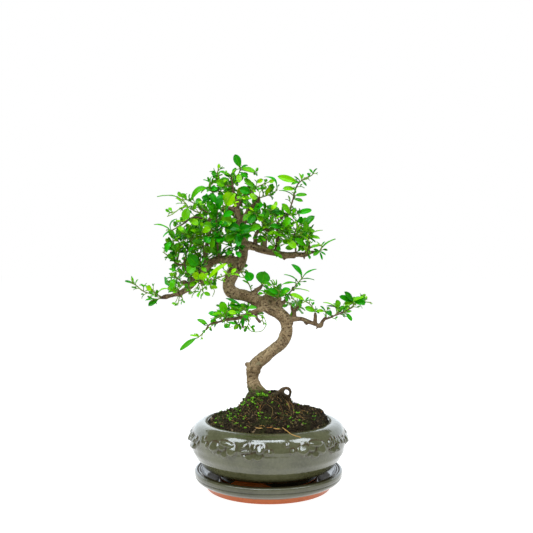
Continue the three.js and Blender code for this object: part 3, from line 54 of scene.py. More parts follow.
LIMBS = {
    "left": [
        (-29, 1, 221, 5), (-38, 0, 224.5, 4.5), (-47, -1, 225, 4.2), (-55, -2, 223.5, 4.1),
        (-63, -3, 216.5, 4), (-71, -4, 207, 3.8), (-78.5, -5, 198.5, 3.5), (-87, -5, 192, 2.8),
        (-97, -5, 189, 2.2), (-103, -5, 187.6, 2.5), (-108, -5, 186.5, 1.5),
    ],
    "left_rise": [
        (-61, -2, 217, 2.4), (-62.5, -2, 228, 2), (-61.5, -2, 240, 2.1), (-60, -2, 252, 2.9),
        (-60, -2, 260, 3), (-57, -2, 268, 1.9), (-52, -1, 278, 1.3),
    ],
    "left_knob": [(-80, -5, 199, 2.6), (-83.5, -6, 201.8, 2.6), (-87, -6, 202, 2)],
    "left_spur": [(-71, -4, 206, 2.6), (-74.5, -6, 206.5, 2.2), (-76.5, -7, 204.6, 1.4)],
    "left_under": [(-66, -4, 207, 3), (-66, -5, 202, 2.2), (-66.5, -5, 199, 1.6)],
    "right": [
        (-25, 4, 240, 3.9), (-18, 3, 238.5, 3.9), (-10, 2, 236.3, 3.4), (0, 1, 234, 3.2), (8, 0, 232, 3),
        (17, -1, 229.4, 3.1), (27, -2, 230, 2.7), (36, -3, 229.8, 2.5), (43, -4, 232.2, 1.9),
        (48.5, -4, 232.4, 1.3),
    ],
    "right_left_post": [
        (-12.5, 2, 237, 2.2), (-13.3, 0, 246, 1.8), (-11, -1, 252.5, 1.8), (-5, -2, 255, 1.7),
        (0.5, -2, 254.6, 1.5),
    ],
    "right_back_post": [(-4, 3, 236, 2.6), (-3.6, 4, 244, 2.3), (-3, 5, 250, 1.6)],
    "right_post": [(8, 0, 233, 2.1), (9, -1, 242, 1.9), (9, -2, 252, 1.8), (9, -3, 262, 1.3)],
    "right_end_post": [(38, -3, 231, 2.4), (39.5, -4, 238, 2.1), (39.5, -4, 244, 1.8)],
    "right_stub": [(15.5, -1, 229, 2.2), (15.5, -1, 225.8, 1.7)],
    "fork_right": [
        (-26.5, 5, 256, 2.8), (-22.5, 4, 268, 2.4), (-19, 3, 276, 2.1), (-12, 1, 281.5, 1.9),
        (-9, 0, 287, 1.4),
    ],
    "fork_left": [(-30.5, 3, 268, 2.6), (-34, 2, 274.5, 2.1), (-40, 1, 276.5, 1.8), (-45.5, 0, 275, 1.4)],
    "fork_top": [(-31.5, 2, 277, 2), (-27.5, 1, 283, 1.6), (-24, 1, 288, 1.3)],
    "low_right": [
        (15, -1, 165, 3.4), (24.7, -3, 165.6, 2.6), (33.1, -5, 165.4, 2.3), (40.1, -7, 162.8, 2.2),
        (47.1, -9, 160, 2.1), (52, -10, 158.8, 2.3), (53.6, -10, 162.5, 1.8), (56.8, -11, 166.6, 1.6),
    ],
    "low_right_stub": [(38, -6, 163, 1.8), (38, -6, 160.4, 1.3)],
    "low_right_post": [(46.4, -9, 160.5, 2.2), (46.8, -9, 167, 1.8), (46.8, -9, 171, 1.6)],
    "low_right_fork": [
        (26, -3, 166, 2.3), (25.8, -3, 173, 1.8), (27.5, -4, 175, 1.6), (29.6, -4, 178, 1.4),
    ],
    "low_right_prong": [(25.8, -3, 172, 1.8), (23.5, -3, 175.5, 1.4), (22.8, -3, 179, 1.1)],
    "shoulder": [(5, 1, 176, 6), (7.5, 0, 182, 4.2), (11, -1, 185.3, 2.8)],
    "shoulder_twig": [(8, 0, 178, 4.6), (13.5, 0, 180.5, 2.6), (17, -1, 184.4, 1.7), (20, -2, 190.6, 1.2)],
    "round_leaf_knob": [
        (-16, 1, 190, 3.4), (-11, -1, 194.8, 2.1), (-8, -2, 197, 2), (-6.6, -2, 199.4, 1.3),
    ],
    "low_left": [
        (0, 0, 178, 3.6), (-6.5, -2, 176, 3.1), (-12, -5, 173.6, 2.5), (-20, -9, 170.4, 2.2),
        (-29.6, -13, 166.4, 2), (-41, -17, 165.1, 1.7),
    ],
    "low_left_hook": [(-12.5, -5, 173, 1.9), (-12, -7, 167, 1.3), (-8.6, -8, 162.5, 1.6)],
    "low_left_snag": [(-23, -10, 169, 1.7), (-25.6, -12, 160.5, 1.2), (-25.5, -12, 156.6, 1.1)],
    "base_knob": [(-14, 0, 119, 4), (-22, -1, 120.4, 2.1)],
}
# Swellings of the trunk, a limb and the loop of root that the solid model leaves out
KNOBS = {
    "bulge": [(-8, 0, 180, 5.5), (-1, 0, 186.5, 4.2), (4, 0, 187, 3)],
    "under_limb": [
        (-13, 0, 235, 2.2), (-4, 0, 232.8, 2.4), (6, 0, 230.6, 2.2), (16, 0, 228.6, 2.5), (26, 0, 227.4, 2),
    ],
    "loop_foot": [(2, -7, 84, 2), (8, -8, 90, 2.2), (12.5, -9, 93.5, 1.9), (14.5, -9, 92, 1.3)],
    "loop_top": [
        (10.8, -9, 92.4, 1.3), (13.4, -9, 95.4, 1.3), (17, -9, 96.7, 1.4), (20.6, -9, 95.9, 1.3),
        (22.4, -9, 92.6, 1.1),
    ],
    "loop_low": [(13.6, -9, 92, 1.5), (16, -9, 89.6, 1.5), (18.6, -9, 88.4, 1.4), (21, -9, 88, 1.2)],
}
ROOTS = {
    "flare_right": [(-11, -2, 98, 4.2), (-6, -4, 94.5, 2.6), (0, -6, 89, 2), (8, -8, 80, 1.5)],
    "flare_left": [(-13, -1, 96, 4.5), (-18, -3, 90, 3.2), (-25, -6, 80, 2)],
    "flare_back": [(-12, 2, 96, 4.5), (-13, 8, 88, 3.2), (-15, 18, 76, 2)],
    "spread_right": [(-10, 0, 80, 4), (4, 4, 72, 2.6), (20, 10, 62, 1.5)],
    "spread_left": [(-15, 0, 76, 4), (-28, 6, 64, 2.6), (-36, 10, 54, 1.5)],
    "loop": [
        (-8, -3, 80, 1.8), (4, -6, 80, 1.7), (10.5, -8, 85, 1.6), (13.4, -9, 91, 1.6),
        (15.6, -9, 95.4, 1.4), (19, -9, 96.2, 1.3), (21.8, -9, 93.2, 1.3), (21.2, -9, 89, 1.3),
        (19.6, -8, 83, 1.3), (24, -6, 74, 1.1),
    ],
}
# Leafy stems by node: the path, the radius at the root, how many leaves the rule sets and their length,
# then the listed leaves: place along the stem, tip x, y, z, width, turn, arch
LEAFY_STEMS = {
    "apex": [
        ([(-35.5, 0, 295), (-36.4, 0, 303), (-37.2, 0, 307.5), (-40.5, -1, 311.5)], 1.2, 0, 9, [
            (0.75, -47, -4, 311.3, 4, 50), (0.8, -33.8, -3, 311.8, 3.6, 60), (0.3, -31, 9, 306, 5, 40),
        ]),
        ([(-36.6, 0, 304), (-32, -2, 308.3), (-29, -3, 312.5), (-28, -4, 317.8)], 0.7, 0, 10.5, [
            (1, -33.8, -5, 330.3, 7.6, 82), (0.97, -20.6, -5, 319.3, 3.8, 45),
            (0.93, -37.5, -4, 310.8, 2.6, 15), (0.78, -18.4, -6, 313.4, 3.2, 30),
            (0.62, -28.8, -9, 302, 5.6, 70), (0.86, -13.2, -7, 312, 5.2, 72), (0.7, -21.5, -9, 306, 5, 40),
        ]),
        ([
            (-35.8, 0, 298), (-44, -4, 299), (-52, -7, 302), (-51.6, -8, 309), (-50, -9, 316),
        ], 0.8, 1, 10.5, [
            (0.8, -57.4, -9, 310.2, 5.6, 70), (1, -49.3, -9, 320.8, 2.6, 60), (0.84, -44, -8, 314, 3.2, 40),
            (0.3, -53.5, -12, 303.6, 7.5, 78), (0.45, -41.5, -9, 305.5, 4.5, 40),
        ]),
    ],
    "arched_leaf": [
        ([(-50, -2, 281), (-54, -7, 289), (-59, -10, 296.5), (-55.4, -11, 301.4)], 0.8, 1, 12.5, [
            (0.72, -76.8, -14, 285, 6.6, 62, 0.4), (1, -65.2, -12, 304.6, 3.6, 25),
            (0.75, -50.5, -14, 295.6, 5, 65), (0.4, -61.5, -13, 287.5, 4.6, 55),
        ]),
    ],
    "yellow_leaf": [
        ([
            (-44, 0, 275.5), (-46, -13, 276), (-42, -23, 279.6), (-33, -27, 284.5), (-26.5, -27, 286.6),
        ], 0.7, 0, 9, [(0.57, -35, -31, 292, 13.4, 85)]),
    ],
    "upper_left": [
        ([(-57, -2, 268), (-65, -7, 274.5), (-76, -11, 282), (-84, -13, 286)], 0.9, 0, 9, [
            (0.93, -88, -14, 291, 5.4, 60), (0.85, -79, -15, 290.6, 5, 50), (0.8, -79.4, -15, 286, 5, 70),
            (0.5, -71, -15, 280, 4.6, 60),
        ]),
        ([(-66, -7.5, 275), (-69.5, -12, 272), (-76, -15, 274.6), (-81.5, -17, 278.4)], 0.7, 0, 9, [
            (0.97, -84, -20, 264.2, 8.6, 82), (0.95, -89.5, -19, 276, 2.4, 25),
            (0.62, -72.4, -18, 281.6, 4.8, 75),
        ]),
        ([(-80.5, -16.6, 278), (-83, -18, 281.5), (-91.5, -20, 288.2)], 0.6, 0, 10.5, [
            (1, -111.5, -19, 287.6, 4.6, 10),
        ]),
        ([(-81, -16.8, 278), (-89, -19, 275.4), (-96, -21, 270.4), (-101, -22, 268.2)], 0.55, 0, 4.6, []),
    ],
    "left_shoot": [
        ([
            (-60, -3, 261), (-66, -8, 265.8), (-73, -11, 267.2), (-79, -13, 265.4), (-84, -15, 261.5),
            (-91, -17, 257.2), (-98.6, -18, 253),
        ], 1.2, 1, 9, [
            (0.97, -114.3, -19, 260, 4.2, 22, 0.12), (0.96, -91, -19, 266, 3.4, 40, 0.3),
            (1, -105.2, -19, 247.6, 3, 35), (0.8, -84, -21, 254.5, 5, 55), (0.5, -70, -19, 259.5, 6.5, 70),
        ]),
    ],
    "left_inner": [
        ([(-60.8, -2, 246), (-63, -12, 247), (-66, -18, 250.5), (-67, -20, 253)], 0.8, 2, 15, [
            (0.9, -57, -23, 256, 7, 70),
        ]),
        ([(-63, -11, 247), (-66, -15, 240), (-70.5, -17, 238)], 0.6, 2, 14, []),
    ],
    "front_twig": [
        ([
            (-50.2, -1, 228), (-51, -9, 240), (-51.6, -15, 252), (-52, -19, 264), (-51, -21, 273),
            (-53, -23, 281),
        ], 1.2, 1, 16, [
            (0.8, -62, -25, 284, 8, 70), (0.88, -45, -26, 285, 9, 75), (0.96, -58, -24, 290.6, 7, 60),
            (0.72, -60, -24, 272, 8, 60), (0.6, -57.6, -23, 261.6, 4, 65), (0.97, -46.5, -25, 289.5, 6, 50),
        ]),
        ([(-51.4, -12.5, 247), (-47, -17, 248), (-42, -21, 246.5)], 0.6, 2, 14, []),
        ([(-51.6, -15, 252), (-56, -19, 251), (-60, -22, 247)], 0.6, 1, 15, [
            (0.9, -63, -24, 241.5, 8, 75),
        ]),
        ([(-51.8, -17, 258), (-48.5, -24, 264.5), (-44.5, -27, 269.5)], 0.6, 0, 16, [
            (0.6, -35.4, -30, 262.6, 12.5, 84), (0.35, -27.6, -34, 256, 8.4, 74),
            (1, -35, -30, 271.5, 6.5, 70),
        ]),
    ],
    "trunk_front": [
        ([(-26.6, 3, 248), (-29, -9, 251.5), (-34, -19, 250.8)], 0.8, 1, 15, [
            (1, -16.5, -24, 257.6, 9, 72), (0.7, -30.2, -22, 237, 6.5, 78), (0.85, -42, -24, 243, 7, 70),
            (0.5, -6.5, -21, 257.5, 7.5, 66),
        ]),
    ],
    "fork_front": [
        ([(-18, 3, 276), (-15, -8, 273), (-11, -15, 268)], 0.8, 1, 16, [
            (0.8, -19.5, -19, 260.6, 7, 74), (1, -5.8, -18, 262.8, 5.4, 60),
            (0.5, -4.4, -15, 279.6, 6.5, 60),
        ]),
    ],
    "top_middle": [
        ([
            (-24.5, 1, 287.5), (-18, -4, 291.5), (-13, -6, 296.6), (-7, -8, 299.5), (1.5, -10, 303),
        ], 0.8, 1, 9, [
            (0.45, -24.6, -8, 305.8, 5.6, 72), (0.28, -28.8, -10, 296, 8.4, 80),
            (0.25, -12, -10, 285, 6, 65),
        ]),
    ],
    "upper_right": [
        ([(-9, 0, 286.5), (-3, -1, 288.5), (3, -2, 291), (9, -3, 294.6)], 0.7, 0, 7, [
            (1, -4.3, -4, 307.6, 4, 45, 0.42), (0.6, 5, -5, 301.2, 6.6, 72), (0.3, 1.6, -5, 296.8, 5.2, 75),
        ]),
    ],
    "red_twig": [
        ([
            (9, -3, 261), (14, -3, 267.5), (20.4, -3, 273), (22.6, -3, 279), (25, -3, 287), (27.3, -4, 296),
            (30.5, -5, 301.6), (36, -6, 306), (43, -7, 309), (45.2, -7, 312),
        ], 1.1, 0, 7, [
            (0.73, 9.4, -7, 308.4, 6.8, 80, 0.1), (0.61, 14.4, -8, 296, 5.8, 60),
            (0.5, 38.4, -5, 289.2, 4.4, 62), (0.46, 34.6, -5, 283.4, 4.2, 60),
            (0.5, 10.4, -5, 293.6, 3.2, 22, 0.12), (0.74, 25.4, -8, 307.6, 2.6, 45),
            (0.76, 30, -8, 310.6, 2.4, 60), (0.77, 34.6, -4, 310.2, 2.6, 50),
            (0.78, 38.6, -8, 298.5, 2.6, 60), (0.74, 22.4, -8, 299.4, 3, 60), (0.92, 38, -9, 311, 3.2, 70),
            (1, 40.4, -8, 315.6, 2.8, 60), (1, 48.6, -8, 316.2, 2.6, 60), (0.62, 26, -7, 296, 3.6, 60),
        ]),
        ([(11, -3, 264), (7, -8, 269), (3.5, -11, 273.4), (-3, -12, 275.5)], 0.7, 1, 12.5, [
            (0.7, 8.5, -14, 279.4, 5.6, 58, 0.3), (1, -14.5, -14, 279.4, 6.4, 60),
        ]),
        ([(15.5, -3, 269), (20, -8, 269.5), (26, -10, 269.6), (29, -11, 271)], 0.7, 1, 10.5, [
            (1, 43.2, -10, 274.4, 6, 68), (0.35, 3.4, -12, 272.6, 6.6, 50),
            (0.5, 13.2, -12, 280.8, 6.6, 66), (0.7, 27, -12, 276.4, 4.4, 60),
        ]),
    ],
    "pale_leaf": [
        ([(9, -2, 251), (12, -10, 252.6), (15, -17, 258)], 0.7, 1, 14, [
            (1, 22.6, -20, 266.6, 8, 66), (0.8, 1, -18, 258.6, 5, 62),
        ]),
    ],
    "arch_cluster": [
        ([(-5, -2, 255), (-6, -9, 260), (-5, -15, 266)], 0.8, 2, 15, []),
        ([(-5.6, -7, 258), (2, -13, 260.6), (7, -17, 264)], 0.6, 2, 12.5, []),
    ],
    "right_upright": [
        ([(26.6, -2, 231), (27, -4, 240), (25.8, -6, 250), (29, -9, 257), (33, -11, 262)], 1.1, 1, 14, [
            (0.97, 39.6, -13, 265.6, 6.4, 72), (0.95, 30.4, -14, 267.6, 6.6, 74),
        ]),
        ([(26, -5.6, 248), (31, -12, 250), (37, -15, 256)], 0.6, 3, 16, []),
        ([(27, -4, 240), (22, -10, 242), (16.5, -14, 246.5)], 0.6, 1, 15, [
            (0.9, 27.2, -17, 236, 7.4, 66), (0.4, 13.5, -14, 242.6, 6, 60),
        ]),
        ([(26.9, -3.6, 238), (31, 8, 246), (34, 19, 253)], 0.7, 3, 15, []),
    ],
    "right_end": [
        ([(39.5, -4, 243), (40.6, -8, 249), (41.5, -9, 255)], 0.7, 1, 12.5, [
            (0.6, 54.4, -10, 255, 3.8, 12, 0.12), (0.4, 51.4, -11, 245.4, 4.2, 50),
            (0.3, 47, -10, 241.8, 2.6, 40), (0.8, 45.6, -10, 260.6, 2.2, 50),
        ]),
    ],
    "right_tip": [
        ([(47.5, -4, 232.5), (50.6, -6, 233.2), (53, -8, 237), (53.2, -9, 240)], 0.7, 0, 7, [
            (0.45, 67, -9, 245.6, 5, 20, 0.1), (1, 41.6, -11, 237, 4, 45), (0.4, 44.4, -10, 228.2, 4.4, 62),
            (0.96, 56.4, -10, 242.8, 2.4, 45), (0.3, 57, -8, 229.4, 2.4, 50), (0.35, 45, -10, 235.4, 3, 55),
            (0.3, 53.6, -9, 224.4, 2.4, 60),
        ]),
    ],
    "right_front": [
        ([(36, -4, 230.5), (38.6, -9, 233.5), (38, -12, 239)], 0.7, 1, 10.5, [
            (0.95, 25.4, -14, 245.8, 5.8, 68), (0.4, 35.6, -13, 239.6, 4.6, 76),
        ]),
    ],
    "right_under": [
        ([(3, 0, 233.5), (4.6, -6, 234.5), (6, -8, 238.4)], 0.7, 0, 7, [
            (1, -1, -10, 237, 4.8, 66), (0.5, 13.6, -9, 226, 4.4, 50), (0.8, 2.6, -11, 246.4, 4, 50),
        ]),
    ],
    "crown_back_left": [
        ([(-30.6, 4, 262), (-34, 25, 268), (-38, 43, 272)], 0.9, 3, 16, []),
        ([(-33.6, 23, 267.5), (-43, 34, 262), (-50, 42, 262)], 0.7, 3, 16, []),
    ],
    "crown_back_right": [
        ([(-21.6, 4, 270), (-17, 25, 274), (-12, 43, 277)], 0.9, 3, 16, []),
        ([(-18, 21, 273), (-8, 28, 270), (0, 36, 272)], 0.7, 3, 15, []),
    ],
    "crown_back_top": [
        ([(-34.6, 1, 291), (-41, 18, 294), (-47, 34, 296)], 0.8, 3, 15, []),
        ([(-39, 14, 293.2), (-36, 28, 300), (-34, 36, 305)], 0.6, 2, 14, []),
    ],
    "crown_back_middle": [
        ([(-32.4, 3, 281), (-27, 21, 287), (-20, 36, 292)], 0.8, 3, 15, []),
    ],
    "back_rise": [
        ([(-60, -1, 256), (-64, 17, 260), (-70, 35, 262)], 0.8, 3, 15, []),
        ([(-62.6, 11, 259), (-62, 22, 269), (-64, 31, 277)], 0.6, 3, 15, []),
    ],
    "back_heart": [
        ([(-26, 5, 246), (-31, 27, 248), (-38, 45, 252)], 0.8, 3, 16, []),
        ([(-29, 18, 247), (-22, 34, 252), (-16, 46, 256)], 0.6, 3, 15, []),
    ],
    "back_right": [
        ([(-3.2, 5, 248), (-2, 22, 256), (0, 36, 260)], 0.8, 3, 15, []),
    ],
    "back_post": [
        ([(9, -1, 247), (14, 15, 254), (19, 31, 259)], 0.8, 3, 15, []),
    ],
    "back_left": [
        ([(-46, 0, 227), (-48, 20, 233), (-52, 38, 240)], 0.8, 3, 16, []),
        ([(-47.4, 14, 231.4), (-57, 24, 234), (-66, 31, 238)], 0.6, 2, 15, []),
    ],
    "left_rise_back": [
        ([(-61.8, -1, 234), (-68, 11, 240), (-76, 21, 246)], 0.8, 3, 15, []),
    ],
    "left_tip": [
        ([
            (-107, -5, 187.5), (-110, -6, 189.2), (-124, -8, 192.7), (-133, -9, 199.6), (-138, -10, 201.8),
        ], 0.7, 0, 7, [
            (0.9, -143.6, -10, 203.2, 3, 50), (0.88, -136.6, -11, 208, 2.2, 60),
            (0.86, -130.6, -10, 205.4, 2.4, 60),
        ]),
        ([(-109.4, -6, 189), (-113.6, -10, 192), (-117.6, -12, 196.6)], 0.6, 0, 7, [
            (1, -129.4, -13, 199.4, 3, 20), (0.9, -122.8, -14, 197, 6, 74), (0.2, -112, -11, 194.6, 4, 66),
            (0.25, -99, -10, 195.6, 3.6, 25, 0.2),
        ]),
    ],
    "left_end": [
        ([(-107, -5, 186.4), (-112, -8, 185), (-117.6, -10, 183.4)], 0.7, 0, 7, [
            (0.3, -120.6, -12, 178.2, 5.8, 60), (0.45, -122.6, -11, 184.2, 3.4, 32),
        ]),
    ],
    "left_knot": [
        ([(-86, -6, 202.2), (-90, -10, 205.4), (-94.6, -12, 207.4)], 0.7, 1, 12.5, [
            (0.8, -98.6, -13, 211, 4.8, 10), (1, -103, -12, 205.4, 3.6, 14),
            (0.9, -96.8, -15, 194, 5, 55, 0.28),
        ]),
    ],
    "left_bright": [
        ([(-89, -5, 192), (-92, -10, 194.6), (-95.6, -13, 192.4)], 0.7, 2, 10.5, []),
    ],
    "left_face": [
        ([(-64.6, -4, 214.6), (-69, -12, 217.6), (-74, -16, 219)], 0.7, 1, 15, [
            (0.75, -81.4, -19, 229.6, 11, 76), (1, -81.4, -20, 211.6, 9, 74),
        ]),
    ],
    "left_yellow": [
        ([(-70, -5, 206.6), (-67.6, -14, 205.4), (-63.6, -18, 203)], 0.7, 1, 10.5, [
            (0.85, -67, -20, 212, 6.6, 80), (0.5, -76, -17, 210.6, 7, 74), (1, -59.8, -20, 211.4, 5, 66),
        ]),
    ],
    "bright_shoot": [
        ([
            (-70.6, -5, 203.6), (-68.6, -11, 201), (-60, -16, 202.6), (-50, -19, 206.6), (-43, -20, 209.2),
            (-36.4, -21, 211.6),
        ], 0.7, 0, 7, [
            (1, -31.6, -22, 215.8, 3.8, 72), (0.97, -28.4, -21, 208.8, 2.6, 45),
            (0.88, -46, -23, 213.6, 2.6, 50), (0.38, -41.6, -21, 221.4, 5, 60, 0.16),
            (0.62, -50.6, -22, 214.4, 3.6, 60), (0.66, -55.6, -22, 207, 2.4, 30),
            (0.1, -78.6, -15, 198.6, 4.6, 60), (0.06, -72.6, -15, 193.4, 3, 60),
            (0.14, -65, -16, 207.4, 4, 60),
        ]),
    ],
    "left_twig": [
        ([
            (-79, -6, 203), (-81.2, -8, 212), (-84, -9, 221), (-83.6, -9, 226), (-81.6, -9, 232),
            (-76.4, -9, 241), (-74, -10, 252),
        ], 1.2, 2, 14, [
            (0.97, -83, -14, 256.6, 6, 70), (0.9, -69, -14, 249.6, 4.6, 40),
            (0.6, -76.8, -12, 237.6, 3, 50),
        ]),
        ([(-80.9, -7.8, 210.6), (-86, -11, 212), (-92, -13, 213.2)], 0.6, 1, 10.5, [
            (1, -99.6, -14, 215.6, 3, 60),
        ]),
        ([(-83.8, -9, 220), (-91, -9, 220.4), (-97, -10, 226), (-105.4, -11, 232.4)], 1.3, 0, 6, []),
        ([(-90.6, -9, 220.4), (-92, -11, 229), (-94, -13, 238), (-95.6, -14, 245)], 0.7, 2, 15, [
            (0.98, -102.4, -16, 231.4, 5.4, 66, 0.3),
        ]),
        ([(-91, -9.6, 223), (-89, -9, 233), (-87.6, -10, 240), (-84, -12, 246)], 0.6, 3, 15, []),
        ([(-76.2, -9, 242), (-80.6, -12, 249), (-87, -14, 252)], 0.6, 2, 14, []),
    ],
    "left_back": [
        ([(-70, -3, 209), (-72, 13, 214), (-76, 28, 217)], 0.8, 3, 15, []),
        ([(-71.2, 5, 212.4), (-64, 17, 209), (-60, 25, 205)], 0.6, 2, 12.5, []),
    ],
    "left_back_low": [
        ([(-88, -4, 192.6), (-92, 10, 197), (-97, 24, 200)], 0.7, 3, 14, []),
    ],
    "low_left_tip": [
        ([
            (-40.4, -17, 165), (-49.7, -20, 162.6), (-58.6, -22, 160.2), (-61, -23, 157.4), (-66, -24, 151),
            (-71, -25, 146.4),
        ], 1.3, 0, 7, [
            (1, -88.6, -27, 134, 5.6, 55, 0.08), (0.98, -79, -26, 149.4, 2.4, 50),
            (0.95, -73, -26, 151, 3, 66), (0.58, -71.8, -24, 164, 4.8, 50),
            (0.34, -56, -22, 165.4, 2.8, 60),
        ]),
        ([(-42, -17.6, 165), (-42.6, -18, 170), (-40.6, -19, 174)], 0.7, 0, 9, [
            (0.6, -47.4, -20, 183.6, 8, 80), (0.3, -54, -19, 172.2, 3, 8),
            (0.1, -56.4, -20, 168.6, 4.6, 35, 0.2), (0.8, -32.4, -20, 170.6, 5, 60),
        ]),
        ([(-43, -18, 164.6), (-38.6, -20, 160.6), (-40, -21, 157)], 0.6, 0, 6, [
            (0.6, -44, -22, 156.6, 4.6, 66), (0.35, -33, -21, 160, 3, 60),
        ]),
        ([(-46, -18.8, 163.8), (-49, -10, 168), (-54, -3, 169.6)], 0.6, 2, 12.5, []),
    ],
    "low_left_leaves": [
        ([(-21, -9, 171), (-23.6, -12, 175.6), (-27, -14, 177.4)], 0.7, 0, 9, [
            (1, -42.6, -17, 185.8, 4.6, 38, 0.1), (0.9, -40.8, -16, 178.6, 4, 40),
            (0.5, -11.4, -14, 176.4, 4.2, 50, 0.25),
        ]),
    ],
    "low_left_cluster": [
        ([(-26.6, -12, 168), (-27, -16, 169.4), (-24, -19, 168)], 0.6, 1, 9, [
            (0.9, -11.4, -19, 167, 3.4, 30), (0.8, -26.2, -20, 158, 3.4, 50),
        ]),
    ],
    "low_left_inner": [
        ([(-9, -8, 163), (-6, -10, 163.8), (-4.6, -11, 160)], 0.6, 1, 6, []),
    ],
    "low_left_back": [
        ([(-30, -12, 167), (-33, -2, 172), (-37, 10, 174)], 0.7, 2, 14, []),
        ([(-31, -8, 169), (-24, -1, 170), (-18, 4, 168)], 0.6, 1, 10.5, []),
    ],
    "small_twig": [
        ([(19.8, -2, 190), (25, -3, 196.4), (30, -4, 202), (34.4, -5, 207.6)], 0.9, 0, 7, [
            (1, 22.6, -7, 220, 5.6, 58, 0.22), (0.98, 48, -6, 215.2, 3.8, 26, 0.14),
            (0.66, 15, -6, 209.4, 3.4, 22, 0.14), (0.62, 13.6, -7, 199.8, 3.4, 35, 0.14),
            (0.85, 45.4, -6, 204, 3.2, 12), (0.72, 32, -8, 199, 2.4, 60), (0.55, 29, -7, 197.4, 2.2, 60),
            (0.3, 41, -6, 193.2, 3.2, 10),
        ]),
    ],
    "post_shoot": [
        ([(46.8, -9, 170), (46, -10, 174), (41, -12, 180.6), (35, -13, 184)], 0.7, 0, 6, [
            (1, 21.6, -14, 190.4, 5.6, 50, 0.12), (0.97, 46, -14, 183.8, 2.8, 22),
            (0.16, 35.8, -13, 177.6, 5.8, 66), (0.1, 39.6, -13, 171.4, 4, 66),
            (0.2, 51, -12, 170.6, 2.4, 50), (0.06, 36, -12, 166.4, 3.2, 20),
            (0.95, 40.4, -14, 187.4, 2, 60),
        ]),
    ],
    "fork_shoot": [
        ([(29.4, -4, 177), (28, -6, 181.6), (25.4, -7, 184.8), (22.6, -8, 186.6)], 0.6, 1, 8, []),
    ],
    "prong_shoot": [
        ([(22.8, -3, 178), (21.6, -7, 181), (17, -9, 182.6)], 0.6, 1, 8, []),
    ],
    "shoulder_shoot": [
        ([(10, -1, 185), (9.4, -6, 188.4), (11, -9, 192.6)], 0.7, 1, 10.5, [
            (0.3, 5, -10, 199, 5, 72), (1, 22.4, -11, 195, 7, 58), (0.7, -0.6, -11, 195.4, 5.6, 70),
            (0.2, -5.4, -9, 194.4, 5, 62),
        ]),
    ],
    "round_leaf": [
        ([(-6.8, -2, 198.6), (-6.4, -4, 201.4)], 0.7, 0, 7, [
            (0.9, -3.6, -8, 213.6, 14.4, 86), (0.9, 4, -6, 199, 3, 30), (0.6, 3.6, -4, 196.6, 3, 55),
        ]),
    ],
    "trunk_shoot": [
        ([(-31, -2, 212.6), (-26.6, -7, 213.2), (-20.6, -8, 213.2)], 0.7, 0, 7, [
            (0.35, -23.8, -9, 220.6, 3.4, 72), (0.97, -17.4, -9, 203.4, 9.8, 80),
        ]),
    ],
    "dark_twig": [
        ([(-17, 1, 190), (-18.6, -3, 198), (-21.6, -5, 204), (-27.4, -6, 212)], 0.7, 0, 6, [
            (0.4, -26, -5, 203.6, 3, 40), (0.3, -15.6, -5, 199.4, 2.4, 50),
        ]),
    ],
    "low_right_tip": [
        ([
            (56, -11, 166), (60, -12, 166.2), (64.7, -13, 168.4), (73.8, -14, 171.9), (80.1, -15, 175.2),
            (85, -16, 178.4), (84.4, -17, 184),
        ], 1.2, 0, 7, [
            (0.95, 97.2, -19, 181.2, 6, 62), (0.97, 75.2, -19, 180, 5.2, 60), (1, 96, -20, 187.4, 4.6, 35),
            (0.99, 70.4, -19, 187.9, 6.2, 70), (1, 75.5, -18, 192.6, 5.8, 72),
        ]),
        ([(85, -16.4, 180.5), (91, -18, 184), (97, -18, 182.6), (102.6, -19, 182)], 0.55, 0, 5, []),
        ([(69, -13.5, 170.2), (69.6, -14, 174), (70, -15, 177.8)], 0.8, 0, 7, [
            (1, 54.6, -15, 182.4, 3.6, 14), (0.98, 68, -17, 185.2, 6.2, 76),
            (0.95, 58, -15, 178.8, 3.2, 20), (0.97, 76, -16, 178.4, 3.4, 30),
        ]),
        ([(75.4, -14.2, 172.6), (78, -16, 170.6)], 0.6, 0, 6, [
            (1, 83.5, -17, 163.4, 4.6, 58), (0.9, 83.4, -17, 173.4, 2.8, 60),
        ]),
        ([(57.4, -11.4, 166), (57.6, -13, 171), (56.4, -14, 174)], 0.8, 0, 7, [
            (0.9, 63, -16, 169, 5.8, 54, 0.3), (0.97, 47.4, -14, 173.4, 4.4, 42),
            (1, 51.4, -15, 178.4, 3.2, 40),
        ]),
        ([(66, -13, 168.8), (69, -4, 172), (74, 5, 176)], 0.6, 2, 12.5, []),
        ([(81, -15.2, 175.8), (86, -7, 180), (91, 0, 184)], 0.6, 2, 12.5, []),
    ],
    "low_right_back": [
        ([(26, -3, 171), (26, 11, 177), (29, 25, 180)], 0.7, 2, 12.5, []),
    ],
    "shoulder_back": [
        ([(7, 2, 184), (6, 17, 190), (1, 29, 194)], 0.7, 3, 14, []),
    ],
}
# Nodes whose leaves are young: lighter and yellower
YOUNG = [
    "yellow_leaf", "bright_shoot", "left_bright", "round_leaf", "trunk_shoot", "upper_left", "left_yellow",
]
YOUNG_TONE = 0.55
# Nodes with a tone of their own, from 0 for dark leaves to 1 for yellow ones; below 0 few leaves turn lighter
TONES = {
    "round_leaf": -0.5, "yellow_leaf": 0.9, "front_twig": -0.5, "trunk_front": -0.4, "upper_left": 0.3,
    "trunk_shoot": -0.4, "arched_leaf": -0.3,
}

# The camera's place, the ways up and to the viewer, and the upright line that the crown grows round
EYE = np.array((-2.0, -740.0, 218.0))
UP = np.array((0.0, 0.0, 1.0))
VIEWER = np.array((0.0, -1.0, 0.0))
CROWN_AXIS = np.array((-30.0, 8.0, 0.0))
# A stem's radius at its tip, how deep a leaf's base stays in it, and where along a parent it may be grafted
SHOOT_RADIUS = 0.55
ROOT_DEPTH = 1.6
GRAFT_STEPS = 80
